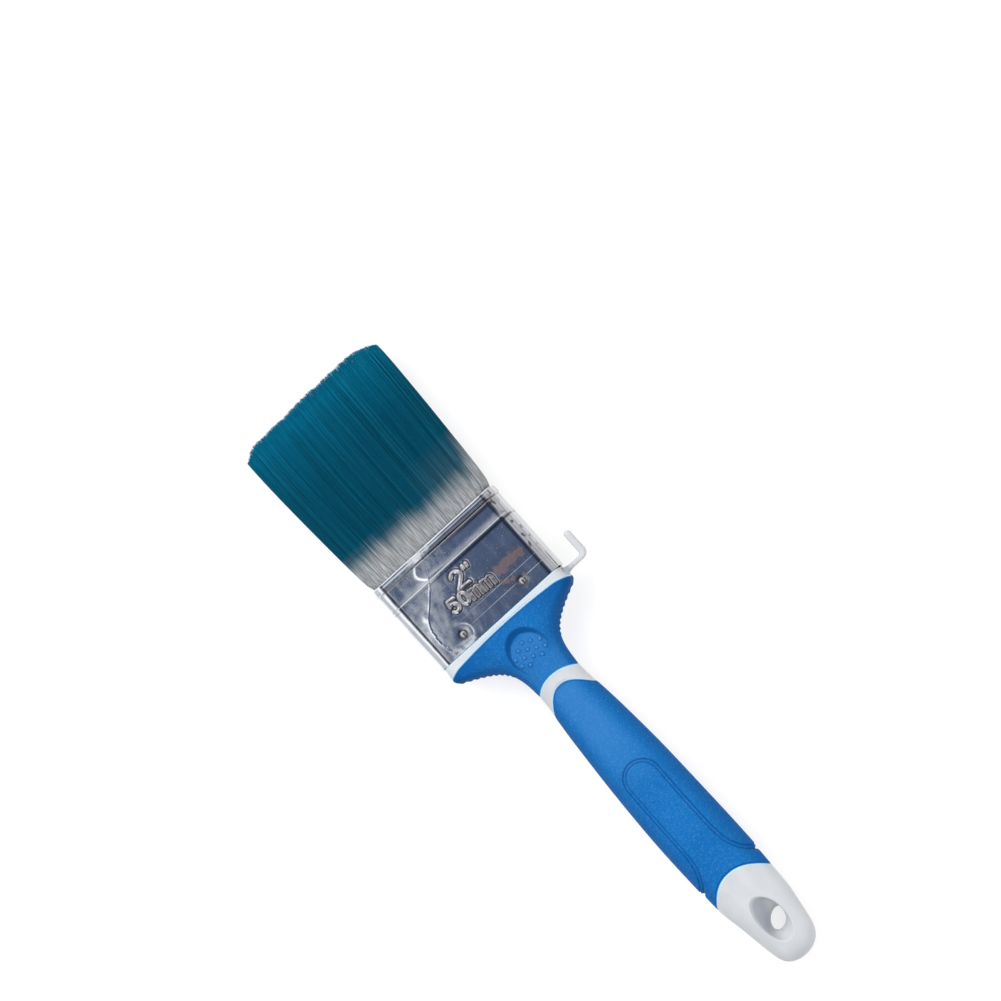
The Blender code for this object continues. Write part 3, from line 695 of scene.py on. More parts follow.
def core_mesh():
    turns = np.concatenate(
        [stations((90, 72, 0.45), (72, 18, 1.0), (18, 0, 0.75)), -stations((0, 18, 0.75), (18, 72, 1.0), (72, 90, 0.45))[1:]]
    )
    dense = np.linspace(0, 90, 361)
    grid = []
    for s_at, inset in core_rows():
        s = s_at(turns)
        turn = turns.copy()
        if abs(s[0] - s[len(s) // 2]) < 1e-9:  # straight rings can part round the hole
            half = float(hole_half_width(s[0]))
            if half > 0:
                xs = handle_point(np.full(361, s[0]), dense)[:, 0]
                turn = turns * float(np.interp(-half, -xs, dense)) / 90
        p = handle_point(s, turn)
        if inset:
            p = p - handle_normal(s, turn) * inset
        elif s.min() > HOLE_S - HOLE_INNER[1] - 1.4:
            drop = lip_drop(p[:, 0], s)
            p[:, 2] -= np.sign(p[:, 2] - MID_Z) * drop
        grid.append(p)
    grid = np.array(grid)
    # inner end: the tang that the ferrule hides
    tang = []
    for y in (-14.0, -17.9):
        t = np.radians(np.linspace(90, -90, len(turns)))
        x = 24.6 * np.sign(np.cos(t)) * np.abs(np.cos(t)) ** 0.35
        z = 6.9 * np.sign(np.sin(t)) * np.abs(np.sin(t)) ** 0.35
        tang.append(np.stack([x, np.full_like(x, y), z + MID_Z], -1))
    grid = np.concatenate([np.array(tang), grid])
    rows, cols = grid.shape[:2]
    run = np.concatenate([[0], np.cumsum(np.linalg.norm(np.diff(grid[:, cols // 2], axis=0), axis=1))])
    row_at = run / run[-1]
    widest = grid[int(np.argmin(np.abs(-17.7 - grid[:, cols // 2, 1] - 100)))]
    col_at = np.concatenate([[0], np.cumsum(np.linalg.norm(np.diff(widest, axis=0), axis=1))])
    col_at /= col_at[-1]
    verts, quads, uvs, shades, painted_reflections = [], [], [], [], []
    count = 0
    # painted shade in the parting lines at the grips, with a painted blue reflection of them on the white beside them
    insets = np.array([0.3, 0.3] + [i for _, i in core_rows()])
    shade = np.repeat(np.clip((insets - 0.08) / 0.5, 0, 1), cols)
    painted_reflection = np.repeat(np.where((insets > 0) & (insets < 0.05), 40 * insets, 0.0), cols)
    for side in (1, -1):
        p = grid * np.array([side, 1, 1])
        verts.append(p.reshape(-1, 3))
        quads.append(grid_faces(rows, cols, False, False, count))
        uvs.append(grid_uv(row_at, col_at) * np.array([0.44, 1.0]) + np.array([0.0 if side > 0 else 0.45, 0.0]))
        shades.append(shade)
        painted_reflections.append(painted_reflection)
        count += rows * cols
    # the hole's wall, from the front lip over the waist to the back lip
    phi = np.pi * np.arange(97) / 96
    s_rim = HOLE_S - HOLE_INNER[1] * np.cos(phi)
    first = next(k for k in range(rows) if abs(-17.7 - grid[k, 0, 1] - s_rim[0]) < 1e-6)
    rim = grid[first : first + 97, 0]
    z_rim = rim[:, 2] - MID_Z
    depth = np.concatenate([np.linspace(1, 0.8, 6), np.linspace(0.8, -0.8, 30)[1:], np.linspace(-0.8, -1, 6)[1:]])
    wall, lean = [], []
    for f in depth:
        t = abs(f) ** 1.7
        hw = HOLE_WAIST[0] + (HOLE_INNER[0] - HOLE_WAIST[0]) * t
        hl = HOLE_WAIST[1] + (HOLE_INNER[1] - HOLE_WAIST[1]) * t
        wall.append(np.stack([hw * np.sin(phi), Y_EDGE - HOLE_S + hl * np.cos(phi), MID_Z + z_rim * f], -1))
        lean.append(1 - t)
    wall = np.array(wall)
    wall[0], wall[-1] = rim, rim * np.array([1, 1, -1]) + np.array([0, 0, 2 * MID_Z])
    lean = np.array(lean)[:, None]
    lean[0], lean[-1] = 0, 0
    wrows, wcols = wall.shape[:2]
    for side in (1, -1):
        part = wall * np.array([side, 1, 1])
        a, b = part[..., 0], part[..., 1] - (Y_EDGE - HOLE_S)
        turn = -HOLE_TURN * lean
        part[..., 0] = a * np.cos(turn) - b * np.sin(turn) + HOLE_LEAN[0] * lean
        part[..., 1] = a * np.sin(turn) + b * np.cos(turn) + (Y_EDGE - HOLE_S) - HOLE_LEAN[1] * lean
        verts.append(part.reshape(-1, 3))
        quads.append(grid_faces(wrows, wcols, False, False, count))
        u0 = 0.905 if side > 0 else 0.955
        uvs.append(
            grid_uv(np.linspace(0, 1, wrows), np.linspace(0, 1, wcols)) * np.array([0.042, 0.5]) + np.array([u0, 0.0])
        )
        # painted shadow on the wall's side towards the bristles and away from the hook, fading out at the lips
        upper = (part[..., 1] - Y_EDGE + HOLE_S) / 8.0 - part[..., 0] / 5.0
        inward = smoothstep(0.0, 0.08, (1 - np.abs(depth))[:, None])
        shades.append((0.95 * smoothstep(-0.2, 0.6, upper) * inward).ravel())
        painted_reflections.append(np.zeros(wrows * wcols))
        count += wrows * wcols
    marks = {"shade": np.concatenate(shades), "painted_reflection": np.concatenate(painted_reflections)}
    verts = np.concatenate(verts)
    # painted blue reflection on the collar's faces, between the ferrule and the shoulder grip
    collar = bell(verts[:, 0], 15.0) * (Y_EDGE - verts[:, 1] < SHOULDER[0][0]) * (np.abs(verts[:, 2] - MID_Z) > 6)
    marks["painted_reflection"] = np.maximum(marks["painted_reflection"], 0.20 * collar)
    verts[:, 0] += sideways(Y_EDGE - verts[:, 1])
    obj = new_object(
        "core_white", verts, np.concatenate(quads), white, uv=np.concatenate(uvs), attributes=marks
    )
    bm = bmesh.new()
    bm.from_mesh(obj.data)
    bmesh.ops.remove_doubles(bm, verts=bm.verts, dist=2e-6)
    bmesh.ops.holes_fill(bm, edges=[e for e in bm.edges if e.is_boundary], sides=0)
    bm.to_mesh(obj.data)
    bm.free()
    return outward(obj)


def hook_mesh():
    """The can hook: a flat strip that flares into the collar, bends and ends in a rounded tip."""
    outer_y, inner_y = Y_EDGE - 3.45, Y_EDGE - 1.75
    x_out, x_in = 36.2, 33.8
    pairs = []
    for x in stations((23.5, 30.5, 0.25), (30.5, 33.2, 0.45)):
        flare = 1.05 * np.clip((29.6 - x) / 4.2, 0, 1) ** 2.2
        pairs.append(((x, outer_y - flare * 0.9), (x, inner_y + flare * 0.85)))
    bend_out, bend_in = 2.7, 0.95
    for k in range(15):
        t = -math.pi / 2 + math.pi / 2 * k / 14
        pairs.append(
            (
                (x_out - bend_out + bend_out * math.cos(t), outer_y + bend_out + bend_out * math.sin(t)),
                (x_in - bend_in + bend_in * math.cos(t), inner_y + bend_in + bend_in * math.sin(t)),
            )
        )
    tip = Y_EDGE + 7.4
    half = (x_out - x_in) / 2
    middle = (x_out + x_in) / 2
    for y in stations((outer_y + bend_out + 0.6, tip - half, 0.6)):
        pairs.append(((x_out, y), (x_in, y)))
    ends = []
    for k in range(1, 9):
        t = math.pi / 2 * k / 8
        w = half * math.cos(t)
        pairs.append(((middle + w, tip - half + half * math.sin(t)), (middle - w, tip - half + half * math.sin(t))))
        ends.append(len(pairs) - 1)
    rings = []
    around = np.arange(36) * 2 * math.pi / 36
    n = 0.42
    for i, ((ox, oy), (ix, iy)) in enumerate(pairs):
        mid = np.array([(ox + ix) / 2, (oy + iy) / 2])
        e = np.array([(ox - ix) / 2, (oy - iy) / 2])
        depth = 2.3
        if i in ends:
            k = ends.index(i) + 1
            depth = 2.3 - 0.7 * (1 - math.cos(math.pi / 2 * k / 8))
            if k == 8:
                e = np.array([0.02, 0.0])
        c = np.sign(np.cos(around)) * np.abs(np.cos(around)) ** n
        d = np.sign(np.sin(around)) * np.abs(np.sin(around)) ** n
        flare_z = 0.5 * np.clip((28.0 - mid[0]) / 3.5, 0, 1) ** 2 if i < 20 else 0.0
        rings.append(
            np.stack([mid[0] + e[0] * c, mid[1] + e[1] * c, MID_Z + (depth + flare_z) * d], -1)
        )
    rings = np.array(rings)
    rows, cols = rings.shape[:2]
    quads = grid_faces(rows, cols, True, False)
    uv = grid_uv(np.linspace(0, 1, rows), np.linspace(0, 1, cols + 1)) * np.array([0.09, 0.42]) + np.array([0.906, 0.55])
    verts = np.concatenate([rings.reshape(-1, 3), rings[0].mean(0)[None], rings[-1].mean(0)[None]])
    tris = [(rows * cols, (k + 1) % cols, k) for k in range(cols)]
    base = (rows - 1) * cols
    tris += [(rows * cols + 1, base + k, base + (k + 1) % cols) for k in range(cols)]
    uv = np.concatenate([uv, np.tile([0.95, 0.975], (len(tris) * 3, 1))])
    # corners of the caps need some width on the map
    cap = np.arange(len(tris) * 3)
    uv[len(quads) * 4 :, 0] = 0.908 + 0.08 * (cap % 3 == 1) + 0.002 * ((cap // 3) % 36)
    uv[len(quads) * 4 :, 1] = 0.978 + 0.015 * (cap % 3 == 2)
    plain = np.zeros(len(verts))
    obj = new_object(
        "hook_strip", verts, quads, white, tris=tris, uv=uv, attributes={"shade": plain, "painted_reflection": plain}
    )
    return outward(obj)


core = core_mesh()
hook = hook_mesh()
union = core.modifiers.new("hook", "BOOLEAN")
union.operation, union.solver, union.object = "UNION", "EXACT", hook
evaluated = core.evaluated_get(bpy.context.evaluated_depsgraph_get())
joined = bpy.data.meshes.new_from_object(evaluated)
core.modifiers.clear()
core.data = joined
bpy.data.objects.remove(hook, do_unlink=True)
place = np.empty(len(joined.vertices) * 3, np.float32)
joined.vertices.foreach_get("co", place)
values = np.empty(len(joined.vertices), np.float32)
joined.attributes["painted_reflection"].data.foreach_get("value", values)
# the hook carries no painted blue reflection
values[place.reshape(-1, 3)[:, 0] > 27.3 * MM] = 0.0
joined.attributes["painted_reflection"].data.foreach_set("value", values)
core.data.shade_smooth()
core.data.set_sharp_from_angle(angle=math.radians(48))
finish_piece(core, "white_plastic", "handle_core")


# ---- blue grips -------------------------------------------------------------


def skin_rings(start, end, fractions, turns, lift, inner=1.25):
    """A grip's rings: outside rows with rolled edges, then a plain inside."""
    rings, tags = [], []

    def row(f, inset, push, kind):
        s = bowed(start, turns) * (1 - f) + bowed(end, turns) * f + push
        p = handle_point(s, turns)
        n = handle_normal(s, turns)
        up = lift(p[:, 0], s, turns, p, f) if kind == "outside" else 0.0
        rings.append(p + n * (up - inset)[:, None] if np.ndim(up) else p - n * inset)
        tags.append(kind)

    gap = 0.02
    for inset, push in ((0.75, 0.0), (0.3, 0.0)):
        row(0.0, inset, gap + push, "edge")
    for inset, push in ((0.1, 0.03), (0.03, 0.12), (0.004, 0.28)):
        row(0.0, inset, gap + push, "outside")
    for f in fractions:
        row(f, 0.0, 0.0, "outside")
    for inset, push in ((0.004, 0.28), (0.03, 0.12), (0.1, 0.03)):
        row(1.0, inset, -gap - push, "outside")
    for inset, push in ((0.3, 0.0), (0.75, 0.0)):
        row(1.0, inset, -gap - push, "edge")
    for f in np.linspace(0.99, 0.01, 36):
        row(f, inner, 0.0, "inside")
    return np.array(rings), tags


# shoulder grip: dished thumb rest with its dots on both faces, ribs down the sides
THUMB_S = 14.5
THUMB_OUTER, THUMB_FLOOR = (7.6, 9.4), (6.4, 7.0)  # half sizes across and along
DOTS = [
    (10.8, 0.0), (12.15, -2.7), (12.15, 2.7), (13.75, -5.45), (13.75, 0.0), (13.75, 5.45),
    (15.15, -2.7), (15.15, 2.7), (16.65, -5.3), (16.65, 0.0), (16.65, 5.3), (18.2, -2.7), (18.2, 2.7),
]
contour_s = np.linspace(0, 32, 641)
contour = np.concatenate(
    [[0], np.cumsum(np.hypot(np.diff(contour_s), np.diff(half_width(contour_s))))]
)


def dish_masks(x, s):
    beyond_floor = np.hypot(x / THUMB_FLOOR[0], (s - THUMB_S - 1.0) / THUMB_FLOOR[1]) - 1
    to_edge = 1 - np.hypot(x / THUMB_OUTER[0], (s - THUMB_S) / THUMB_OUTER[1])
    t = np.where(beyond_floor <= 0, 0.0, beyond_floor / np.maximum(beyond_floor + np.maximum(to_edge, 0), 1e-6))
    floor = 1 - smoothstep(0.0, 1.0, t)
    wall = smoothstep(-0.02, 0.22, t) * (1 - smoothstep(0.72, 1.0, t))
    return floor, wall


def rib_lift(s, turn):
    """Low scallops across the sides, wide apart at the shoulder and closer down the neck."""
    run = np.interp(s, contour_s, contour)
    at7 = float(np.interp(6.0, contour_s, contour))
    t = np.maximum(run - at7, 0)
    saw = (t / 3.0 + t**2 * 0.006) % 1.0  # the pitch falls as it goes
    shape = np.where(saw < 0.72, smoothstep(0, 0.72, saw), 1 - smoothstep(0.72, 1.0, saw))
    q = np.abs(np.sin(np.radians(turn)))
    side = 1 - smoothstep(0.16, 0.42, q)
    length = smoothstep(5.6, 7.2, s) * (1 - smoothstep(15.5, 18.5, s))
    return (shape - 0.35) * 0.38 * side * length


def shoulder_lift(x, s, turn, p, f):
    z = p[:, 2] - MID_Z
    floor, wall = dish_masks(x, s)
    level = 7.02 + 0.028 * np.maximum(s - 12.0, 0) ** 1.4
    drop = np.maximum(np.abs(z) - level, 0.0) * floor
    up = -drop
    for ds, dx in DOTS:
        d = np.hypot(x - dx, s - ds)
        up = up + 0.50 * np.clip(1 - (d / 0.68) ** 2, 0, 1) ** 0.8 * (np.abs(z) > 3)
    up = up + rib_lift(s, turn)
    up = up + 0.10 * smoothstep(0.0, 0.10, f) * (1 - smoothstep(0.9, 1.0, f))
    return up


turns_shoulder = np.concatenate(
    [
        stations((0, 30, 1.5), (30, 52, 0.8), (52, 128, 0.36), (128, 150, 0.8), (150, 180, 1.5))[:-1],
        180 + stations((0, 30, 1.5), (30, 52, 0.8), (52, 128, 0.36), (128, 150, 0.8), (150, 180, 1.5))[:-1],
    ]
)
rings, tags = skin_rings(
    SHOULDER[0], SHOULDER[1], np.linspace(0.022, 0.978, 150), turns_shoulder, shoulder_lift
)
flat_x = rings[..., 0]
flat_s = Y_EDGE - rings[..., 1]
floor, wall = dish_masks(flat_x, flat_s)
outside = np.array([t == "outside" for t in tags])[:, None]
facing = (np.abs(rings[..., 2] - MID_Z) > 4.5) & outside
fade = 1 - smoothstep(THUMB_S + 0.5, THUMB_S + 7.0, flat_s)
# lighter on the dish's floor and down the neck below it, with painted highlights on the dots' tops
pale = np.maximum(floor * fade * 0.22, 0.16 * smoothstep(14, 20, flat_s)) * facing
for ds, dx in DOTS:
    d = np.hypot(flat_x - dx, flat_s - ds)
    pale = np.maximum(pale, np.where(facing, 0.95 * np.clip(1 - (d / 0.55) ** 2, 0, 1), 0))
# painted shade in the dish's upper wall and in rings round the dots
upper = smoothstep(-6.5, 4.0, THUMB_S + 1.0 - flat_s - 0.25 * flat_x)
shade = wall * upper * facing * 0.74
for ds, dx in DOTS:
    d = np.hypot(flat_x - dx, flat_s - ds)
    shade = np.maximum(shade, np.where(facing, 0.34 * bell(d - 0.8, 0.2), 0))
# painted shade down the sides, deeper towards the shoulder's ends and near its top
turned = np.abs(np.cos(np.radians(turns_shoulder)))[None, :] * outside
shade = np.maximum(shade, 0.42 * smoothstep(0.62, 1.0, turned))
shade = np.clip(shade + 0.48 * outside * smoothstep(5.5, 21.0, np.abs(flat_x)), 0, 0.88)
top = 1 - smoothstep(2.2, 9.5, flat_s)
shade = np.clip(shade + 0.20 * outside * top, 0, 0.88)
for k in (3, 4, 5):
    shade[k] = 0.85
# painted highlight along both of the grip's rolled edges
painted_reflection = np.zeros(rings.shape[:2])
for k in (2, 3, -39, -40):
    painted_reflection[k] = 0.35
shoulder = closed_skin(
    "shoulder_soft_grip",
    rings,
    blue,
    {"pale": pale, "shade": shade, "painted_reflection": painted_reflection},
)
finish_piece(shoulder, "blue_soft_grip", "shoulder_grip")

# sleeve: a raised outer field, a ledge and two grooves that loop up each face and
# flare out over the sides near the tail
LOOP_S, LOOP_R = 71.6, 6.25
LOOP_HALF = (
    (71.6, 6.25), (85.0, 6.25), (97.0, 6.3), (100.4, 6.45), (103.6, 6.75), (105.7, 7.25), (108.0, 8.15),
    (110.0, 9.25), (111.5, 10.4), (112.6, 11.6), (113.4, 13.0), (114.2, 15.0),
)


def loop_distance(x, s):
    """Signed distance from the loop's line, positive outside it."""
    half = pchip(LOOP_HALF, s)
    slope = (pchip(LOOP_HALF, s + 0.05) - pchip(LOOP_HALF, s - 0.05)) / 0.1
    straight = (np.abs(x) - half) / np.sqrt(1 + slope**2)
    straight = np.where(s > 114.2, -3.0, straight)
    return np.where(s < LOOP_S, np.hypot(x, s - LOOP_S) - LOOP_R, straight)


def sleeve_lift(x, s, turn, p, f):
    d = loop_distance(x, s)
    raised = 0.12 + 0.2 * smoothstep(55, 104, s)
    up = raised * smoothstep(-0.35, 0.42, d)
    up = up - 0.38 * bell(d - 0.55, 0.25) - 0.27 * bell(d + 0.53, 0.21)
    up = up + 0.05 * smoothstep(-3.5, -0.9, d) * (1 - smoothstep(-0.9, -0.5, d))
    # both grooves run out over the sides as one wider notch
    up = up - 0.5 * bell(s - 113.6, 0.75) * smoothstep(10.3, 11.9, np.abs(x))
    return up * smoothstep(0.0, 0.012, f) * (1 - smoothstep(0.985, 1.0, f))


quarter = stations((0, 44, 1.4), (44, 50, 0.9), (50, 66, 0.5), (66, 90, 0.8))
quarter = np.concatenate([quarter, 180 - quarter[::-1][1:]])
turns_sleeve = np.concatenate([quarter[:-1], 180 + quarter[:-1]])
span = SLEEVE[1][0] - SLEEVE[0][0]
rows_s = stations((30.6, 62.3, 0.7), (62.3, 71.5, 0.14), (71.5, 96.3, 0.7), (96.3, 108.3, 0.145), (108.3, 113.3, 0.35))
rings, tags = skin_rings(SLEEVE[0], SLEEVE[1], (rows_s - SLEEVE[0][0]) / span, turns_sleeve, sleeve_lift)
d = loop_distance(rings[..., 0], Y_EDGE - rings[..., 1])
outside = np.array([t == "outside" for t in tags])[:, None]
# painted shade in the loop's grooves and down the sides
shade = np.where(outside, 0.62 * bell(d - 0.55, 0.25) + 0.48 * bell(d + 0.53, 0.22), 0)
turned = np.abs(np.cos(np.radians(turns_sleeve)))[None, :] * outside
shade = np.clip(shade + 0.40 * smoothstep(0.5, 0.98, turned), 0, 0.9)
# painted sheen: the grain lighter over the top of the sleeve, fading towards the tail
sleeve_s = Y_EDGE - rings[..., 1]
top_sheen = (1 - smoothstep(0.25, 0.75, turned)) * outside * (1 - smoothstep(48, 82, sleeve_s))
# painted highlight along both of the grip's rolled edges
painted_reflection = np.zeros(rings.shape[:2])
for k in (2, 3, -39, -40):
    painted_reflection[k] = 0.35
for k in (3, 4, -41, -42):
    shade[k] = 0.75
rings[..., 0] += sideways(sleeve_s)
sleeve = closed_skin(
    "handle_soft_grip", rings, blue, {"pale": 0.30 * top_sheen, "shade": shade, "painted_reflection": painted_reflection}
)
finish_piece(sleeve, "blue_soft_grip", "handle_grip")


# ---- ferrule ----------------------------------------------------------------

F_HALF_W, F_HALF_T, F_R = 26.5, 7.75, 3.4
F_EDGE = 22.75  # where a face's flat panel ends
BELT_LO, BELT_HI = 25.0, 32.2


def arc(cx, cy, rx, ry, a0, a1, n=18):
    t = np.radians(np.linspace(a0, a1, n))
    return [(cx + rx * math.cos(v), cy + ry * math.sin(v)) for v in t]


def numeral_strokes():
    """Strokes of the pressed size mark in the ferrule's front: x and h in mm."""
    two = arc(2.55, 4.85, 1.95, 1.75, 165, -38) + [(0.45, 0.35), (5.3, 0.35)]
    five = [(3.35, 4.7), (0.95, 4.7), (0.65, 2.85)] + arc(1.85, 1.75, 1.5, 1.5, 128, -140)
    nought = arc(1.75, 2.45, 1.35, 2.15, 0, 360, 30)
    em = [[(0.35, 0.0), (0.35, 3.5)], arc(1.4, 2.45, 1.05, 0.95, 180, 0) + [(2.45, 0.0)], arc(3.5, 2.45, 1.05, 0.95, 180, 0) + [(4.55, 0.0)]]
    strokes = []

    def add(line, x, h, turn, size=1.0):
        c, s = math.cos(math.radians(turn)), math.sin(math.radians(turn))
        strokes.append([(x + size * (c * a - s * b), h + size * (s * a + c * b)) for a, b in line])

    add(two, -4.1, 16.0, -3.0, 0.93)
    add([(0, 0), (0.25, 0.9)], 2.1, 20.7, -3.0)
    add([(0, 0), (0.25, 0.9)], 3.6, 20.6, -3.0)
    base = np.array([-10.7, 11.2])
    step = np.array([math.cos(math.radians(-4)), math.sin(math.radians(-4))])
    for line, at in ((five, 0.0), (nought, 4.45)):
        o = base + step * at
        add(line, o[0], o[1], -4.0)
    for at in (8.5, 13.7):
        o = base + step * at
        for line in em:
            add(line, o[0], o[1], -4.0, 0.92)
    return strokes


def stroke_distance(x, h, strokes):
    best = np.full(np.broadcast(x, h).shape, 99.0)
    for line in strokes:
        for (ax, ay), (bx, by) in zip(line, line[1:]):
            dx, dy = bx - ax, by - ay
            t = np.clip(((x - ax) * dx + (h - ay) * dy) / max(dx * dx + dy * dy, 1e-9), 0, 1)
            best = np.minimum(best, np.hypot(x - ax - t * dx, h - ay - t * dy))
    return best


def ferrule_line():
    """Points and normals round the ferrule's section, from the front's middle towards +X."""
    half = F_HALF_W - F_R
    side = F_HALF_T - F_R
    front = stations((0, 11.4, 0.14), (11.4, 21.9, 0.3), (21.9, half, 0.09))
    pts, nrm, kind = [], [], []
    for x in front[:-1]:
        pts.append((x, F_HALF_T)), nrm.append((0, 1)), kind.append(0)
    for k in range(16):
        t = math.pi / 2 * (1 - k / 16)
        pts.append((half + F_R * math.cos(t), side + F_R * math.sin(t)))
        nrm.append((math.cos(t), math.sin(t))), kind.append(1)
    for z in np.linspace(side, 0, 12)[:-1]:
        pts.append((F_HALF_W, z)), nrm.append((1, 0)), kind.append(2)
    quarter_p, quarter_n = np.array(pts), np.array(nrm, float)
    back = stations((0, 21.9, 0.42), (21.9, half, 0.12))
    bp, bn = [(F_HALF_W, 0.0)], [(1.0, 0.0)]
    for z in np.linspace(0, -side, 12)[1:]:
        bp.append((F_HALF_W, z)), bn.append((1.0, 0.0))
    for k in range(1, 17):
        t = -math.pi / 2 * k / 16
        bp.append((half + F_R * math.cos(t), -side + F_R * math.sin(t))), bn.append((math.cos(t), math.sin(t)))
    for x in back[::-1][1:]:
        bp.append((x, -F_HALF_T)), bn.append((0.0, -1.0))
    right_p = np.concatenate([quarter_p, np.array(bp)])
    right_n = np.concatenate([quarter_n, np.array(bn)])
    left_p = right_p[::-1][1:-1] * np.array([-1, 1])
    left_n = right_n[::-1][1:-1] * np.array([-1, 1])
    return np.concatenate([right_p, left_p]), np.concatenate([right_n, left_n])


dents = waves(11, 26, 5.0, 17.0)
fine_dents = waves(12, 40, 1.6, 4.0)
side_dents = waves(13, 14, 4.0, 12.0)
left_dents = waves(14, 30, 2.2, 6.0)
corner_marks = waves(15, 22, 1.6, 4.5)
streaks = line_noise(16, 0.62)
BEND = (
    (-1.0, -17.5), (3.0, -19.4), (8.0, -20.2), (12.0, -19.8), (15.0, -18.6), (20.0, -13.8), (25.0, -9.4), (36.0, -4.0),
)


def ferrule_lift(x, z, nx, nz, h):
    """Height of the ferrule's pressed features over its plain section."""
    face = np.clip(np.abs(nz), 0, 1) ** 2
    front = (nz > 0.5).astype(float)
    up = np.zeros(np.broadcast(x, h).shape)
    # concave belt between two creases
    t = np.clip((h - BELT_LO) / (BELT_HI - BELT_LO), 0, 1)
    up = up - 0.30 * np.sin(np.pi * t**0.85) ** 1.1 * (0.35 + 0.65 * face)
    up = up + 0.055 * smoothstep(BELT_LO - 1.5, BELT_LO - 0.15, h) * (1 - smoothstep(BELT_LO, BELT_LO + 0.5, h))
    # rolled bead at the rim
    bead = smoothstep(BELT_HI - 0.15, BELT_HI + 0.6, h)
    crown = 1 - 0.19 * (h - 33.0) - 0.06 * np.sin((h - 32.6) * 4.6)
    roll = np.clip((h - 34.6) / 0.8, 0, 1)
    up = up + bead * 0.46 * crown - (1 - np.sqrt(np.maximum(0, 1 - roll**2))) * 0.55
    up = up - 0.16 * bell(h - BELT_HI + 0.1, 0.3)
    # two lines pressed across the panel, fading to the left
    fade = 0.45 + 0.55 * smoothstep(-16, 6, x)
    up = up + (0.020 * bell(h - 8.3, 0.16) - 0.022 * bell(h - 8.62, 0.2)) * fade
    up = up + (0.024 * bell(h - 4.9, 0.17) - 0.022 * bell(h - 5.24, 0.2)) * fade
    # the panels' edges beside the rounded corners
    edge = np.abs(x) - F_EDGE
    panel = (h < BELT_HI).astype(float)
    up = up - 0.025 * bell(edge, 0.4) * (np.abs(nz) > 0.98) * panel
    # the sheet is a little crowned and rippled, more so to the left of one long faint bend
    crown = -0.30 * (x / 22.5) ** 2 * face
    bend = pchip(BEND, h)
    q = x - bend
    span = np.where(q < 0, 4.5, 6.5)
    level = 0.046 - np.where(q < 0, 0.026, 0.010) * (1 - smoothstep(3.0, 13.0, h))
    level = level * (1 - 0.5 * smoothstep(31.5, 33.0, h))
    crown = crown + level * span * (np.tanh(q / span) - 1) * face
    ripple = 0.026 * dents(x, h) * face + 0.004 * fine_dents(x, h) * face
    ripple = ripple + 0.010 * left_dents(x, h) * face * (1 - smoothstep(-14, -4, x))
    ripple = ripple + 0.02 * side_dents(z, h) * (1 - face)
    ripple = ripple + 0.016 * streaks(h + 0.03 * x) * face * (1 - 0.8 * smoothstep(-12, 2, x)) * (h < 24)
    calm = smoothstep(0, 1.2, h) * (1 - smoothstep(34.6, 35.3, h))
    up = up + crown + ripple * calm
    up = up + 0.050 * bell(q, np.where(q < 0, 0.42, 4.0)) * (nz > 0.98) * (h < 24.6) * smoothstep(0.5, 3.0, h)
    # the same bend goes on in the belt and the bead as a bow and a bulge
    bow = x + 8.6 + 2.6 * np.sin(np.pi * np.clip((h - 25.6) / 7.0, 0, 1))
    belt = smoothstep(25.4, 26.2, h) * (1 - smoothstep(31.6, 32.6, h))
    up = up + 0.13 * bell(bow, np.where(bow < 0, 0.75, 5.0)) * (nz > 0.98) * belt
    up = up + 0.53 * bell(x + 3.6, np.where(x + 3.6 < 0, 5.5, 15.0)) * (nz > 0.98) * bead * (1 - 0.6 * roll)
    # two knocks: one where the bend turns, one at the handle's edge
    knock = np.hypot((x + 18.4) / 1.3, (h - 16.2) / 2.2)
    up = up + 0.10 * bell(knock, 1.0) * (nz > 0.98)
    up = up + 0.20 * bell(h + 0.1, 1.25) * bell(x + 13.8, 4.4) * (nz > 0.98)
    # nails' dimples, and the arc pressed beside the left one
    for nail_x, ring in ((-12.6, 0.055), (14.2, 0.0)):
        away = np.hypot(x - nail_x, h - 4.4)
        ring = ring * smoothstep(-1.0, 2.5, x - nail_x)
        arch = away - 4.0
        ring = ring * bell(arch, np.where(arch < 0, 0.45, 1.6))
        up = up + (-0.34 * bell(away, 1.5) + ring) * (np.abs(nz) > 0.98)
    up = up + front * (np.abs(nz) > 0.98) * pressed_mark(x, h)
    return up


STROKES = numeral_strokes()


def pressed_mark(x, h):
    d = stroke_distance(x, h, STROKES)
    rise = 0.35 * (1 - smoothstep(-0.1, 0.72, d))
    rise = rise * (1 - 0.35 * smoothstep(-4, 6, x) * (h < 16.0))  # the last letters are struck less deep
    return rise - 0.05 * bell(d - 0.95, 0.3)


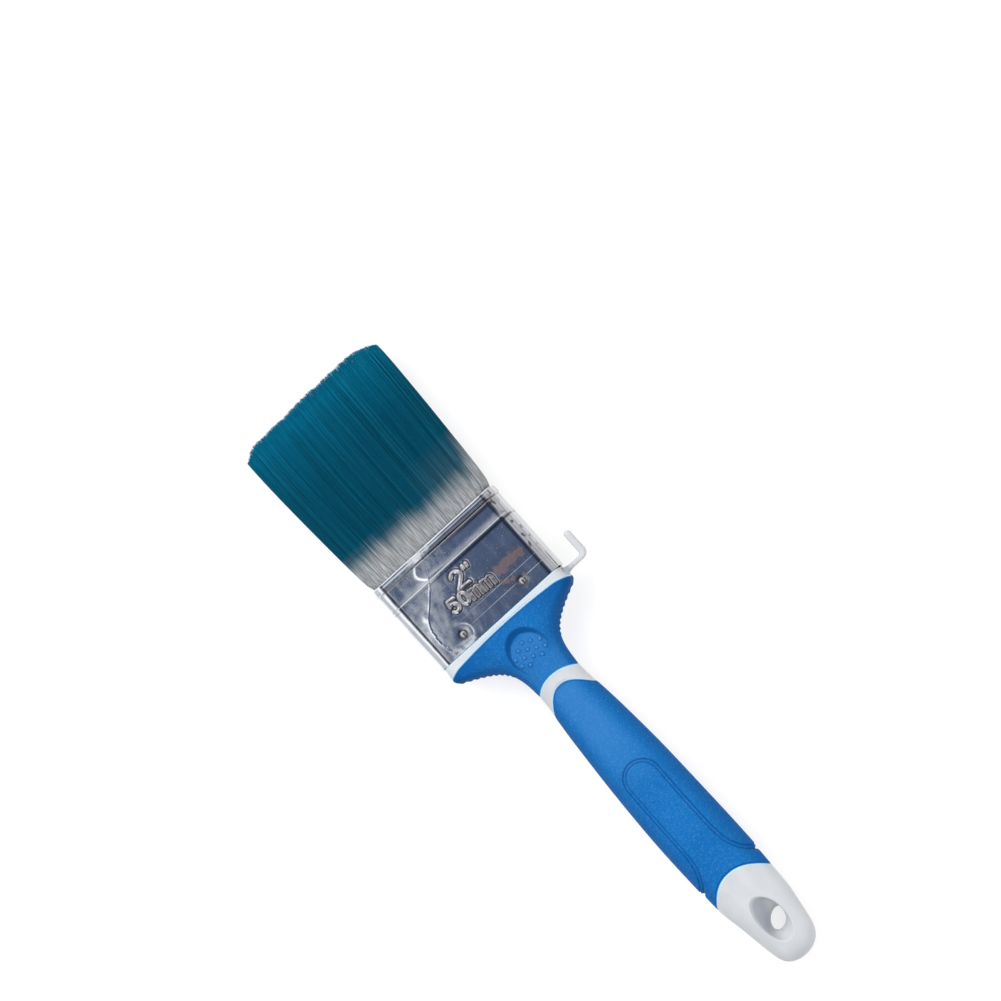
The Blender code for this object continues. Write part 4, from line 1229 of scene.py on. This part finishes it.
def ferrule_mesh():
    line, normal = ferrule_line()
    heights = stations(
        (0.0, 0.6, 0.1), (0.6, 4.2, 0.22), (4.2, 5.8, 0.1), (5.8, 7.5, 0.2), (7.5, 8.9, 0.1), (8.9, 23.6, 0.14),
        (23.6, 25.8, 0.09), (25.8, 31.4, 0.22), (31.4, 33.0, 0.08), (33.0, 34.5, 0.18), (34.5, 35.4, 0.06),
    )
    x, z = line[None, :, 0], line[None, :, 1]
    nx, nz = normal[None, :, 0], normal[None, :, 1]
    h = heights[:, None]
    lift = ferrule_lift(x, z, nx, nz, h)
    outer = np.stack([x + nx * lift, np.broadcast_to(Y_EDGE + h, lift.shape), MID_Z + z + nz * lift], -1)
    inner_h = np.concatenate([[35.1], np.linspace(34.0, 1.0, 45), [0.02]])
    # the inside follows the outside where that is pressed in
    base = -np.minimum(ferrule_lift(x, z, nx, nz, inner_h[:, None]), 0.0)
    inner = np.stack(
        [
            x - nx * (0.45 + base),
            np.broadcast_to(Y_EDGE + inner_h[:, None], base.shape),
            MID_Z + z - nz * (0.45 + base),
        ],
        -1,
    )
    inner[0] = inner[1] * np.array([1, 0, 1]) + np.array([0, Y_EDGE + 35.15, 0])
    rings = np.concatenate([outer, inner])
    d = stroke_distance(x, h, STROKES)
    # the size mark's painted shadow falls to the strokes' lower right
    low = stroke_distance(x - 0.25, h + 0.28, STROKES)
    on_face = np.abs(nz) > 0.98
    # painted shade and painted dark reflections in the hollows: along creases and the panels' edges, on the bead,
    # round the size mark and the nails, and down the hook's side
    right = smoothstep(-16, 8, x)
    shade = 0.88 * bell(d - 0.84, 0.27) * (nz > 0.98)
    shade = np.maximum(shade, 0.85 * bell(low - 0.66, 0.26) * (d > 0.42) * (nz > 0.98))
    # painted shade on the letters' crowns: strong on the last letters, on the others only in places
    crown_shade = np.clip(0.30 + 0.44 * smoothstep(-4.5, -1.0, x) * (h < 15.2) + 0.20 * fine_dents(x + 40, h), 0, 0.85)
    shade = np.maximum(shade, crown_shade * (1 - smoothstep(0.3, 0.8, d)) * (nz > 0.98))
    shade = np.maximum(shade, 0.90 * bell(h - BELT_LO + 0.95, 0.28 + 0.32 * right) * (0.3 + 0.7 * right))
    shade = np.maximum(shade, 0.92 * bell(h - BELT_HI + 0.1, 0.45) * (0.3 + 0.7 * right))
    shade = np.maximum(shade, 0.80 * bell(h - BELT_HI + 1.35, 0.42) * smoothstep(0, 14, x) * on_face)
    shade = np.maximum(shade, 0.88 * bell(np.abs(x) - F_EDGE, np.where(x > 0, 0.6, 0.45)) * on_face * (h < 35))
    shade = np.maximum(shade, 0.42 * smoothstep(0.55, 0.95, nx) * (h > 0))
    shade = np.maximum(shade, 0.40 * bell(h - 34.0, 0.75) * smoothstep(-4, 10, x) * on_face)
    shade = np.maximum(shade, (0.36 + 0.14 * right) * bell(h - BELT_LO - 0.35, 0.42))
    for nail_x in (-12.6, 14.2):
        away = np.hypot(x - nail_x, h - 4.4)
        shade = np.maximum(shade, 0.85 * bell(away - 1.6, 0.45) * on_face)
    # the sheet's lap on the hook's side, and rub marks along that side's corner
    lap = (nx > 0.98) * bell(z - 2.4, 0.28)
    shade = np.maximum(shade, 0.75 * lap)
    scuff = np.clip(corner_marks(h, z * 2.5) - 0.75, 0, 1) * (nx > 0.25) * (nx < 0.995) * (h > 10)
    shade = np.maximum(shade, 0.85 * np.clip(scuff * 2.2, 0, 1))
    # a painted dark reflection along the front corner on the hook's side
    shade = np.maximum(shade, 0.30 * bell(nx - 0.42, 0.10) * (nz > 0))
    # a faint painted mauve reflection to the right of the size mark
    mauve_patch = smoothstep(8.0, 9.6, x) * (1 - smoothstep(20.5, 22.3, x)) * bell(h - 11.7 - 0.04 * x, 2.4)
    lower = smoothstep(6.5, 9.5, x) * (1 - smoothstep(15.5, 18.5, x)) * bell(h - 7.8 + 0.42 * (x - 10), 1.8)
    mauve_reflection = np.clip(np.maximum(mauve_patch, 0.8 * lower) + 0.2 * fine_dents(x, h) * (mauve_patch + lower > 0.2), 0, 1)
    mauve_reflection = 0.9 * mauve_reflection * (nz > 0.98) * smoothstep(1.6, 2.8, np.hypot(x - 14.2, h - 4.4)) * smoothstep(0.5, 1.2, d)
    plain = np.zeros((len(inner), shade.shape[1]))
    # the sheet is rubbed dull in the corner by the left nail and on the rim's bead
    haze = (1 - smoothstep(1.2, 5.0, h)) * smoothstep(-21.8, -19.0, x) * (1 - smoothstep(-11.5, -8.0, x))
    haze = np.maximum(haze, smoothstep(BELT_HI + 0.5, BELT_HI + 1.2, h) * bell(x + 7.0, np.where(x + 7.0 < 0, 6.0, 10.0)))
    haze = 0.42 * haze * np.clip(0.8 + 0.4 * fine_dents(x, h), 0.2, 1) * (nz > 0.98)
    # the sheet's inside carries painted shade all over
    marks = {
        "shade": np.concatenate([shade, plain + 0.8]),
        "mauve_reflection": np.concatenate([mauve_reflection, plain]),
        "haze": np.concatenate([haze, plain]),
    }
    return closed_skin("ferrule_plated", rings, plated, marks, sharp=75)


ferrule = ferrule_mesh()
finish_piece(ferrule, "plated_steel", "ferrule")


def nail_head(name, node, x, front):
    """A domed head with a shoulder and a slightly flattened top, and its shank behind it."""
    face = F_HALF_T + 0.02
    profile = [(0.35, face - 4.95), (0.75, face - 3.6), (0.75, face - 0.32), (1.08, face - 0.28), (1.2, face - 0.18)]
    for k in range(9):
        t = math.pi / 2 * k / 8
        profile.append((1.24 * math.cos(t) ** 0.8, face - 0.06 + 0.52 * math.sin(t) ** 1.1))
    profile[-1] = (0.02, profile[-1][1])
    side = 1 if front else -1
    around = np.arange(40) * 2 * math.pi / 40
    wobble = 1 + 0.02 * np.sin(3 * around + x)
    rings = []
    for r, z in profile:
        rings.append(
            np.stack(
                [x + r * wobble * np.cos(around), Y_EDGE + 4.4 + r * wobble * np.sin(around), np.full(40, MID_Z + side * z)],
                -1,
            )
        )
    rings = np.array(rings)
    rows, cols = rings.shape[:2]
    verts = np.concatenate([rings.reshape(-1, 3), rings[0].mean(0)[None], rings[-1].mean(0)[None]])
    base = (rows - 1) * cols
    tris = [(rows * cols, (k + 1) % cols, k) for k in range(cols)]
    tris += [(rows * cols + 1, base + k, base + (k + 1) % cols) for k in range(cols)]
    # painted shade: dark over the shank and round the head's rim, fading towards its top
    shade = np.concatenate([np.repeat([0.9] * 6 + [0.85, 0.75, 0.62, 0.45, 0.3, 0.15, 0.1, 0.1], cols), [0.9, 0.0]])
    obj = new_object(name, verts, grid_faces(rows, cols, True, False), nail_metal, tris=tris, attributes={"shade": shade})
    return finish_piece(outward(obj), "nail_steel", node)


nail_head("nail_head_front_left", "nail_front_left", -12.6, True)
nail_head("nail_head_front_right", "nail_front_right", 14.2, True)
nail_head("nail_head_back_left", "nail_back_left", -12.6, False)
nail_head("nail_head_back_right", "nail_back_right", 14.2, False)


# ---- filaments --------------------------------------------------------------


def tuft_edge(u, width, thick):
    """Half thickness of the tuft at a share u of its half width: its long edges are rounded."""
    r = np.minimum(0.85 * thick, 5.5)
    over = np.maximum(np.abs(u) * width - (width - r), 0)
    return thick - r + np.sqrt(np.maximum(r * r - over * over, 0))


tip_noise = line_noise(31, 2.6)
tip_fine = line_noise(32, 0.8)
root_noise = line_noise(33, 5.0)
root_fine = line_noise(34, 0.9)
bundle_noise = line_noise(35, 1.1)


def tip_reach(x):
    """How far out the tuft reaches at x: a slightly worn, slanted edge with rounded corners."""
    reach = 63.6 + 0.7 * smoothstep(-12, 4, x) + 0.16 * tip_noise(x) + 0.24 * tip_fine(x)
    reach = reach - 3.4 * np.clip((x - 20.5) / 9.2, 0, 1) ** 1.8
    return reach - 3.3 * np.clip((-x - 22.5) / 6.9, 0, 1) ** 1.7


def dye_start(x):
    """Where the dye begins: lower towards the hook's side, but not on that side's last filaments."""
    return 10.2 - 3.2 * smoothstep(-24, 24, x) + 8.0 * smoothstep(24.5, 28.5, x)


def dye_at(x, out, own=0.0):
    start = dye_start(x) + 0.5 * root_noise(x) + 0.45 * root_fine(x) + own
    # towards the hook's side the dye thins out over a longer way
    right = smoothstep(4.0, 20.0, x)
    dye = smoothstep(start - 4.3 - 0.5 * right, start + 4.1 + 2.8 * right, out)
    return np.minimum(dye, 1 - 0.06 * right * (1 - smoothstep(13.0, 22.0, out)))


OUTS = np.array([-3.0, 0.0, 2.5, 4.8, 6.6, 8.4, 10.2, 12.2, 15.0, 24.0, 34.0, 44.0, 52.0, 58.0])


def strands(layers, seed):
    """Tapered three-sided filaments. layers holds (share of thickness low, high, count, share of width low, high)."""
    rng = np.random.default_rng(seed)
    u_all, v_all = [], []
    for v_lo, v_hi, count, u_lo, u_hi in layers:
        k = (np.arange(count) + rng.uniform(-0.5, 0.5, count)) / max(count - 1, 1)
        if u_lo is None:  # a side: spread through the thickness
            v_all.append(v_lo + (v_hi - v_lo) * k)
            u_all.append(u_hi + rng.uniform(-0.004, 0.004, count))
        else:
            u_all.append(np.clip(u_lo + (u_hi - u_lo) * k, -1, 1))
            v_all.append(rng.uniform(v_lo, v_hi, count))
    u, v = np.concatenate(u_all), np.concatenate(v_all)
    n = len(u)
    x0 = u * 27.0
    # loose bundles: neighbours lean together towards the tip
    edges = np.cumsum(rng.uniform(0.7, 2.6, 90)) - 45
    which = np.clip(np.searchsorted(edges, x0), 1, len(edges) - 1)
    centre = (edges[which] + edges[which - 1]) / 2
    lift = rng.uniform(-1, 1, len(edges))[which]
    lean = (centre - x0) * rng.uniform(0.0, 0.16, n)
    stray = rng.normal(0, 1, n)
    stray_z = rng.normal(0, 1, n)
    reach = tip_reach(x0 * 1.1) - rng.uniform(0, 1, n) ** 3 * 1.7
    outs = np.concatenate([np.broadcast_to(OUTS, (n, len(OUTS))), reach[:, None]], 1)
    outs = np.minimum(outs, (reach - 0.5)[:, None] * np.where(np.arange(len(OUTS) + 1) == len(OUTS), 9, 1))
    outs = np.sort(outs, axis=1)
    width, thick = pchip(TUFT_WIDTH, outs), pchip(TUFT_THICK, outs)
    width = width - 0.12
    x = u[:, None] * width
    z = v[:, None] * (tuft_edge(np.broadcast_to(u[:, None], outs.shape), width, thick) - 0.12)
    t = np.clip(outs / 62.0, 0, 1)
    x = x + (lean[:, None] + 0.15 * stray[:, None]) * t**1.6
    z = z + (0.08 * lift[:, None] * np.sign(v)[:, None] + 0.05 * stray_z[:, None]) * np.sin(np.pi * np.clip(t, 0, 0.8)) * (
        np.abs(v)[:, None] > 0.5
    )
    r = 0.150 * (1 - 0.45 * t) * rng.uniform(0.85, 1.15, n)[:, None]
    r[:, -1] *= 0.45
    path = np.stack([x, 17.7 + outs, MID_Z + z], -1)
    turn = rng.uniform(0, 2 * math.pi, n)
    sides = 3
    verts = []
    for k in range(sides):
        a = turn + 2 * math.pi * k / sides
        ring = path.copy()
        ring[..., 0] += r * np.cos(a)[:, None]
        ring[..., 2] += r * np.sin(a)[:, None]
        verts.append(ring)
    verts = np.stack(verts, 2)  # strand, station, side, xyz
    m = outs.shape[1]
    base = np.arange(n)[:, None, None] * (m * sides)
    st = np.arange(m - 1)[None, :, None] * sides
    sd = np.arange(sides)[None, None, :]
    s2 = (sd + 1) % sides
    quads = np.stack([base + st + sd, base + st + s2, base + st + sides + s2, base + st + sides + sd], -1).reshape(-1, 4)
    last = np.arange(n)[:, None] * (m * sides) + (m - 1) * sides
    tris = np.stack([last[:, 0], last[:, 0] + 1, last[:, 0] + 2], -1)
    own = rng.normal(0, 0.6, n)
    dye = dye_at(x, outs, own[:, None])
    tone = 0.26 * rng.normal(0, 1, n)[:, None] + 0.14 * bundle_noise(x0)[:, None] + 0.0 * outs
    along = np.clip(outs / 62.6, 0, 1)
    spread = lambda f: np.repeat(f[:, :, None], sides, 2).ravel()
    # each strand has a short strip of the bake's map
    columns = 256
    blocks = int(math.ceil(n / columns))
    order = np.argsort(np.argsort(x0, kind="stable"), kind="stable")
    col, block = order // blocks, order % blocks
    u0 = (col + 0.08) / columns
    u1 = (col + 0.92) / columns
    v_at = (block[:, None] + 0.03 + 0.94 * (outs - outs[:, :1]) / 66.0) / blocks
    lo, hi = v_at[:, :-1], v_at[:, 1:]
    uv = np.empty((n, m - 1, sides, 4, 2))
    for k in range(sides):
        ua = u0 + (u1 - u0) * k / sides
        ub = u0 + (u1 - u0) * (k + 1) / sides
        uv[:, :, k, 0, 0] = uv[:, :, k, 3, 0] = ua[:, None]
        uv[:, :, k, 1, 0] = uv[:, :, k, 2, 0] = ub[:, None]
        uv[:, :, k, 0, 1] = uv[:, :, k, 1, 1] = lo
        uv[:, :, k, 2, 1] = uv[:, :, k, 3, 1] = hi
    tri_uv = np.empty((n, 3, 2))
    tri_uv[:, 0] = np.stack([u0, v_at[:, -1]], -1)
    tri_uv[:, 1] = np.stack([u1, v_at[:, -1]], -1)
    tri_uv[:, 2] = np.stack([(u0 + u1) / 2, v_at[:, -1] + 0.02 / blocks], -1)
    return {
        "verts": verts.reshape(-1, 3),
        "quads": quads,
        "tris": tris,
        "uv": np.concatenate([uv.reshape(-1, 2) * np.array([0.93, 1]), tri_uv.reshape(-1, 2) * np.array([0.93, 1])]),
        "dye": spread(dye),
        "tone": spread(tone),
        "along": spread(along),
        "quad_corners": quads.size,
    }


def filling(v_lo, v_hi):
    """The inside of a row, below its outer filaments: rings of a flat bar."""
    outs = np.concatenate([np.linspace(-3, 60.3, 26), [61.0]])
    count = 61
    u = np.linspace(-1, 1, count)
    rings = []
    for out in outs:
        w = pchip(TUFT_WIDTH, out) - 1.1
        t = pchip(TUFT_THICK, out)
        e = tuft_edge(u, w, t) - 0.75
        e = np.maximum(e, 0.25)
        shrink = 0.55 if out > 60.5 else 1.0
        top = np.stack([u * w, np.full(count, 17.7 + out), MID_Z + e * v_hi * shrink], -1)
        low = np.stack([u * w, np.full(count, 17.7 + out), MID_Z + e * v_lo * shrink], -1)
        # the bar's end follows the tuft's corners
        cut = np.minimum(out, tip_reach(u * w) - 2.0)
        top[:, 1], low[:, 1] = 17.7 + cut, 17.7 + cut
        rings.append(np.concatenate([top, low[::-1]]))
    rings = np.array(rings)
    rows, cols = rings.shape[:2]
    quads = grid_faces(rows, cols, True, False)
    uv = grid_uv(np.linspace(0.01, 0.99, rows), np.linspace(0.94, 0.998, cols + 1))
    caps = []
    cap_uv = []
    for base in (0, (rows - 1) * cols):
        for k in range(count - 1):
            caps.append((base + k, base + k + 1, base + cols - 2 - k, base + cols - 1 - k))
            a, b = 0.94 + 0.058 * k / count, 0.94 + 0.058 * (k + 1) / count
            y = 0.0 if base == 0 else 0.992
            cap_uv += [(a, y), (b, y), (b, y + 0.006), (a, y + 0.006)]
    x, out = rings[..., 0], rings[..., 1] - 17.7
    return {
        "verts": rings.reshape(-1, 3),
        "quads": np.concatenate([quads, np.array(caps)]),
        "uv": np.concatenate([uv, np.array(cap_uv)]),
        "dye": dye_at(x, out).ravel(),
        # a darker tone: painted shade of the tuft's packed inside
        "tone": np.full(x.size, -0.45),
        "along": np.clip(out / 62.6, 0, 1).ravel(),
    }


def filament_row(name, node, layers, fill, seed):
    a = strands(layers, seed)
    b = filling(*fill)
    shift = len(a["verts"])
    quads = np.concatenate([a["quads"], b["quads"] + shift])
    uv_a = a["uv"]
    uv = np.concatenate([uv_a[: a["quad_corners"]], b["uv"], uv_a[a["quad_corners"] :]])
    obj = new_object(
        name,
        np.concatenate([a["verts"], b["verts"]]),
        quads,
        filament,
        tris=a["tris"],
        uv=uv,
        attributes={k: np.concatenate([a[k], b[k]]) for k in ("dye", "tone", "along")},
    )
    return finish_piece(outward(obj), "filament", node)


def outer_layers(side):
    skin = [(0.985, 1.0, 300), (0.955, 0.985, 290), (0.92, 0.955, 270), (0.88, 0.92, 240), (0.82, 0.88, 200)]
    deep = [(0.7, 0.82, 150), (0.55, 0.7, 140), (0.36, 0.55, 140)]
    layers = [tuple(sorted((side * a, side * b))) + (c, -1.0, 1.0) for a, b, c in skin + deep]
    for share in (1.0, 0.988, 0.975, 0.955):
        for u in (share, -share):
            layers.append((side * 0.34, side * 1.0, 30, None, u))
    return layers


middle_layers = [(a, a + 0.08, 150, -1.0, 1.0) for a in (-0.32, -0.24, -0.16, -0.08, 0.0, 0.08, 0.16, 0.24)]
for share in (1.0, 0.988, 0.975, 0.955):
    for u in (share, -share):
        middle_layers.append((-0.33, 0.33, 28, None, u))

filament_row("filaments_front", "bristles_front", outer_layers(1), (0.3, 0.9), 41)
filament_row("filaments_back", "bristles_back", outer_layers(-1), (-0.9, -0.3), 42)
filament_row("filaments_middle", "bristles_middle", middle_layers, (-0.31, 0.31), 43)


# ---- pieces kept from the CAD -----------------------------------------------

resin = hidden_material("cast_resin", (0.32, 0.22, 0.10), (0.20, 0.13, 0.06), 3.0, (1.0, 1.0, 1.0))
strip = hidden_material("spacer_wood", (0.50, 0.40, 0.27), (0.33, 0.25, 0.16), 1.5, (0.08, 1.0, 1.0))
for node, material in (("resin_set", resin), ("spacer_front", strip), ("spacer_back", strip)):
    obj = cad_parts[node]
    obj.data.materials.clear()
    obj.data.materials.append(material)


# ---- stage, light and camera ------------------------------------------------

floor_z = -2.0
floor_material = Nodes("pale_floor")
floor_material.set(
    Roughness=0.85, Specular_IOR_Level=0.1, Emission_Color=(1.0, 1.0, 1.0), Emission_Strength=0.70
)
floor_grain = floor_material.noise(40.0, 2.0, 0.5)
floor_material.colour(
    floor_material.mix(floor_material.remap(floor_grain, 0.3, 0.7), (0.28, 0.28, 0.28), (0.29, 0.29, 0.29))
)
half = 30000.0
floor = new_object(
    "floor",
    [(-half, -half, floor_z), (half, -half, floor_z), (half, half, floor_z), (-half, half, floor_z)],
    [(0, 1, 2, 3)],
    floor_material.material,
)

world = bpy.data.worlds.new("studio")
bpy.context.scene.world = world
world.use_nodes = True
tree = world.node_tree
tree.nodes.clear()
link = tree.links.new


def w_math(operation, a, b=None):
    node = tree.nodes.new("ShaderNodeMath")
    node.operation = operation
    for socket, value in zip(node.inputs, (a, b)):
        if value is None:
            continue
        if isinstance(value, (int, float)):
            socket.default_value = value
        else:
            link(value, socket)
    return node.outputs[0]


def w_range(value, a, b, c, d):
    node = tree.nodes.new("ShaderNodeMapRange")
    node.interpolation_type = "SMOOTHSTEP"
    for key, number in (("From Min", a), ("From Max", b), ("To Min", c), ("To Max", d)):
        node.inputs[key].default_value = number
    link(value, node.inputs["Value"])
    return node.outputs["Result"]


def w_mix(factor, a, b):
    node = tree.nodes.new("ShaderNodeMix")
    node.data_type = "RGBA"
    for socket, value in ((node.inputs[0], factor), (node.inputs[6], a), (node.inputs[7], b)):
        if isinstance(value, tuple):
            socket.default_value = (*value, 1.0)
        elif isinstance(value, (int, float)):
            socket.default_value = value
        else:
            link(value, socket)
    return node.outputs[2]


direction = tree.nodes.new("ShaderNodeTexCoord").outputs["Generated"]
split = tree.nodes.new("ShaderNodeSeparateXYZ")
link(direction, split.inputs[0])


def lobe(axis, inner, outer):
    """1 within inner degrees of the axis, falling to 0 at outer degrees."""
    v = Vector(axis).normalized()
    node = tree.nodes.new("ShaderNodeVectorMath")
    node.operation = "DOT_PRODUCT"
    node.inputs[1].default_value = v
    link(direction, node.inputs[0])
    return w_range(node.outputs["Value"], math.cos(math.radians(outer)), math.cos(math.radians(inner)), 0.0, 1.0)


# a bright side towards -X and +Y, and a darker room overhead and towards +X and -Y
dx, dy = split.outputs["X"], split.outputs["Y"]
lit = w_mix(w_range(dx, -0.27, -0.40, 0.0, 1.0), (0.38, 0.41, 0.47), (1.25, 1.26, 1.28))
lit = w_mix(w_range(dx, -0.52, -0.72, 0.0, 1.0), lit, (0.68, 0.69, 0.72))
lit = w_mix(w_range(dy, 0.28, 0.56, 0.0, 1.0), lit, (1.25, 1.26, 1.28))
room = w_mix(lobe((0.05, -0.02, 1.0), 14, 42), (0.15, 0.15, 0.165), (0.085, 0.118, 0.205))
room = w_mix(w_range(dy, -0.12, -0.26, 0.0, 1.0), room, (0.115, 0.10, 0.11))
room = w_mix(w_range(dx, 0.04, 0.32, 0.0, 1.0), room, (0.62, 0.61, 0.63))
inside = w_math(
    "MULTIPLY",
    w_range(dx, -0.26, -0.15, 0.0, 1.0),
    w_math("SUBTRACT", 1.0, w_range(dy, 0.08, 0.34, 0.0, 1.0)),
)
sky = w_mix(inside, lit, room)
sky = w_mix(w_range(split.outputs["Z"], 0.3, 0.05, 0.0, 1.0), sky, (0.60, 0.61, 0.64))
path = tree.nodes.new("ShaderNodeLightPath")
sky = w_mix(path.outputs["Is Camera Ray"], sky, (1.0, 1.0, 1.0))
background = tree.nodes.new("ShaderNodeBackground")
background.inputs["Strength"].default_value = 1.0
link(sky, background.inputs["Color"])
output = tree.nodes.new("ShaderNodeOutputWorld")
link(background.outputs[0], output.inputs["Surface"])


def area(name, place, target, size, power):
    light = bpy.data.lights.new(name, "AREA")
    light.shape = "SQUARE"
    light.size = size
    light.energy = power
    obj = bpy.data.objects.new(name, light)
    bpy.context.scene.collection.objects.link(obj)
    obj.location = place
    obj.rotation_mode = "QUATERNION"
    obj.rotation_quaternion = (Vector(target) - Vector(place)).to_track_quat("-Z", "Y")
    obj.visible_camera = False
    obj.visible_glossy = False
    return obj


area("key", (-0.35, 1.1, 1.35), (0, -0.03, 0), 1.0, 20.8)
area("fill", (0.65, -0.65, 1.5), (0, -0.03, 0), 1.5, 18.0)

bpy.context.scene.view_settings.view_transform = "Standard"
bpy.context.scene.view_settings.look = "None"

toward = Vector((0.13, -0.06, 0))
toward.z = math.sqrt(1 - toward.x**2 - toward.y**2)
along_y = (Vector((0, 1, 0)) - toward * toward.y).normalized()
right0 = along_y.cross(toward)
roll = math.radians(41.92)
up = along_y * math.cos(roll) + right0 * math.sin(roll)
right = right0 * math.cos(roll) - along_y * math.sin(roll)
aim = Vector((26.7, 11.35, 15.5)) * MM
camera_data = bpy.data.cameras.new("camera")
camera = bpy.data.objects.new("camera", camera_data)
bpy.context.scene.collection.objects.link(camera)
bpy.context.scene.camera = camera
camera_data.sensor_width = 36.0
camera_data.lens = 324.0
camera_data.clip_start, camera_data.clip_end = 0.05, 100.0
camera.matrix_world = Matrix.Translation(aim + toward * 3.0) @ Matrix(
    (right, up, toward)
).transposed().to_4x4()
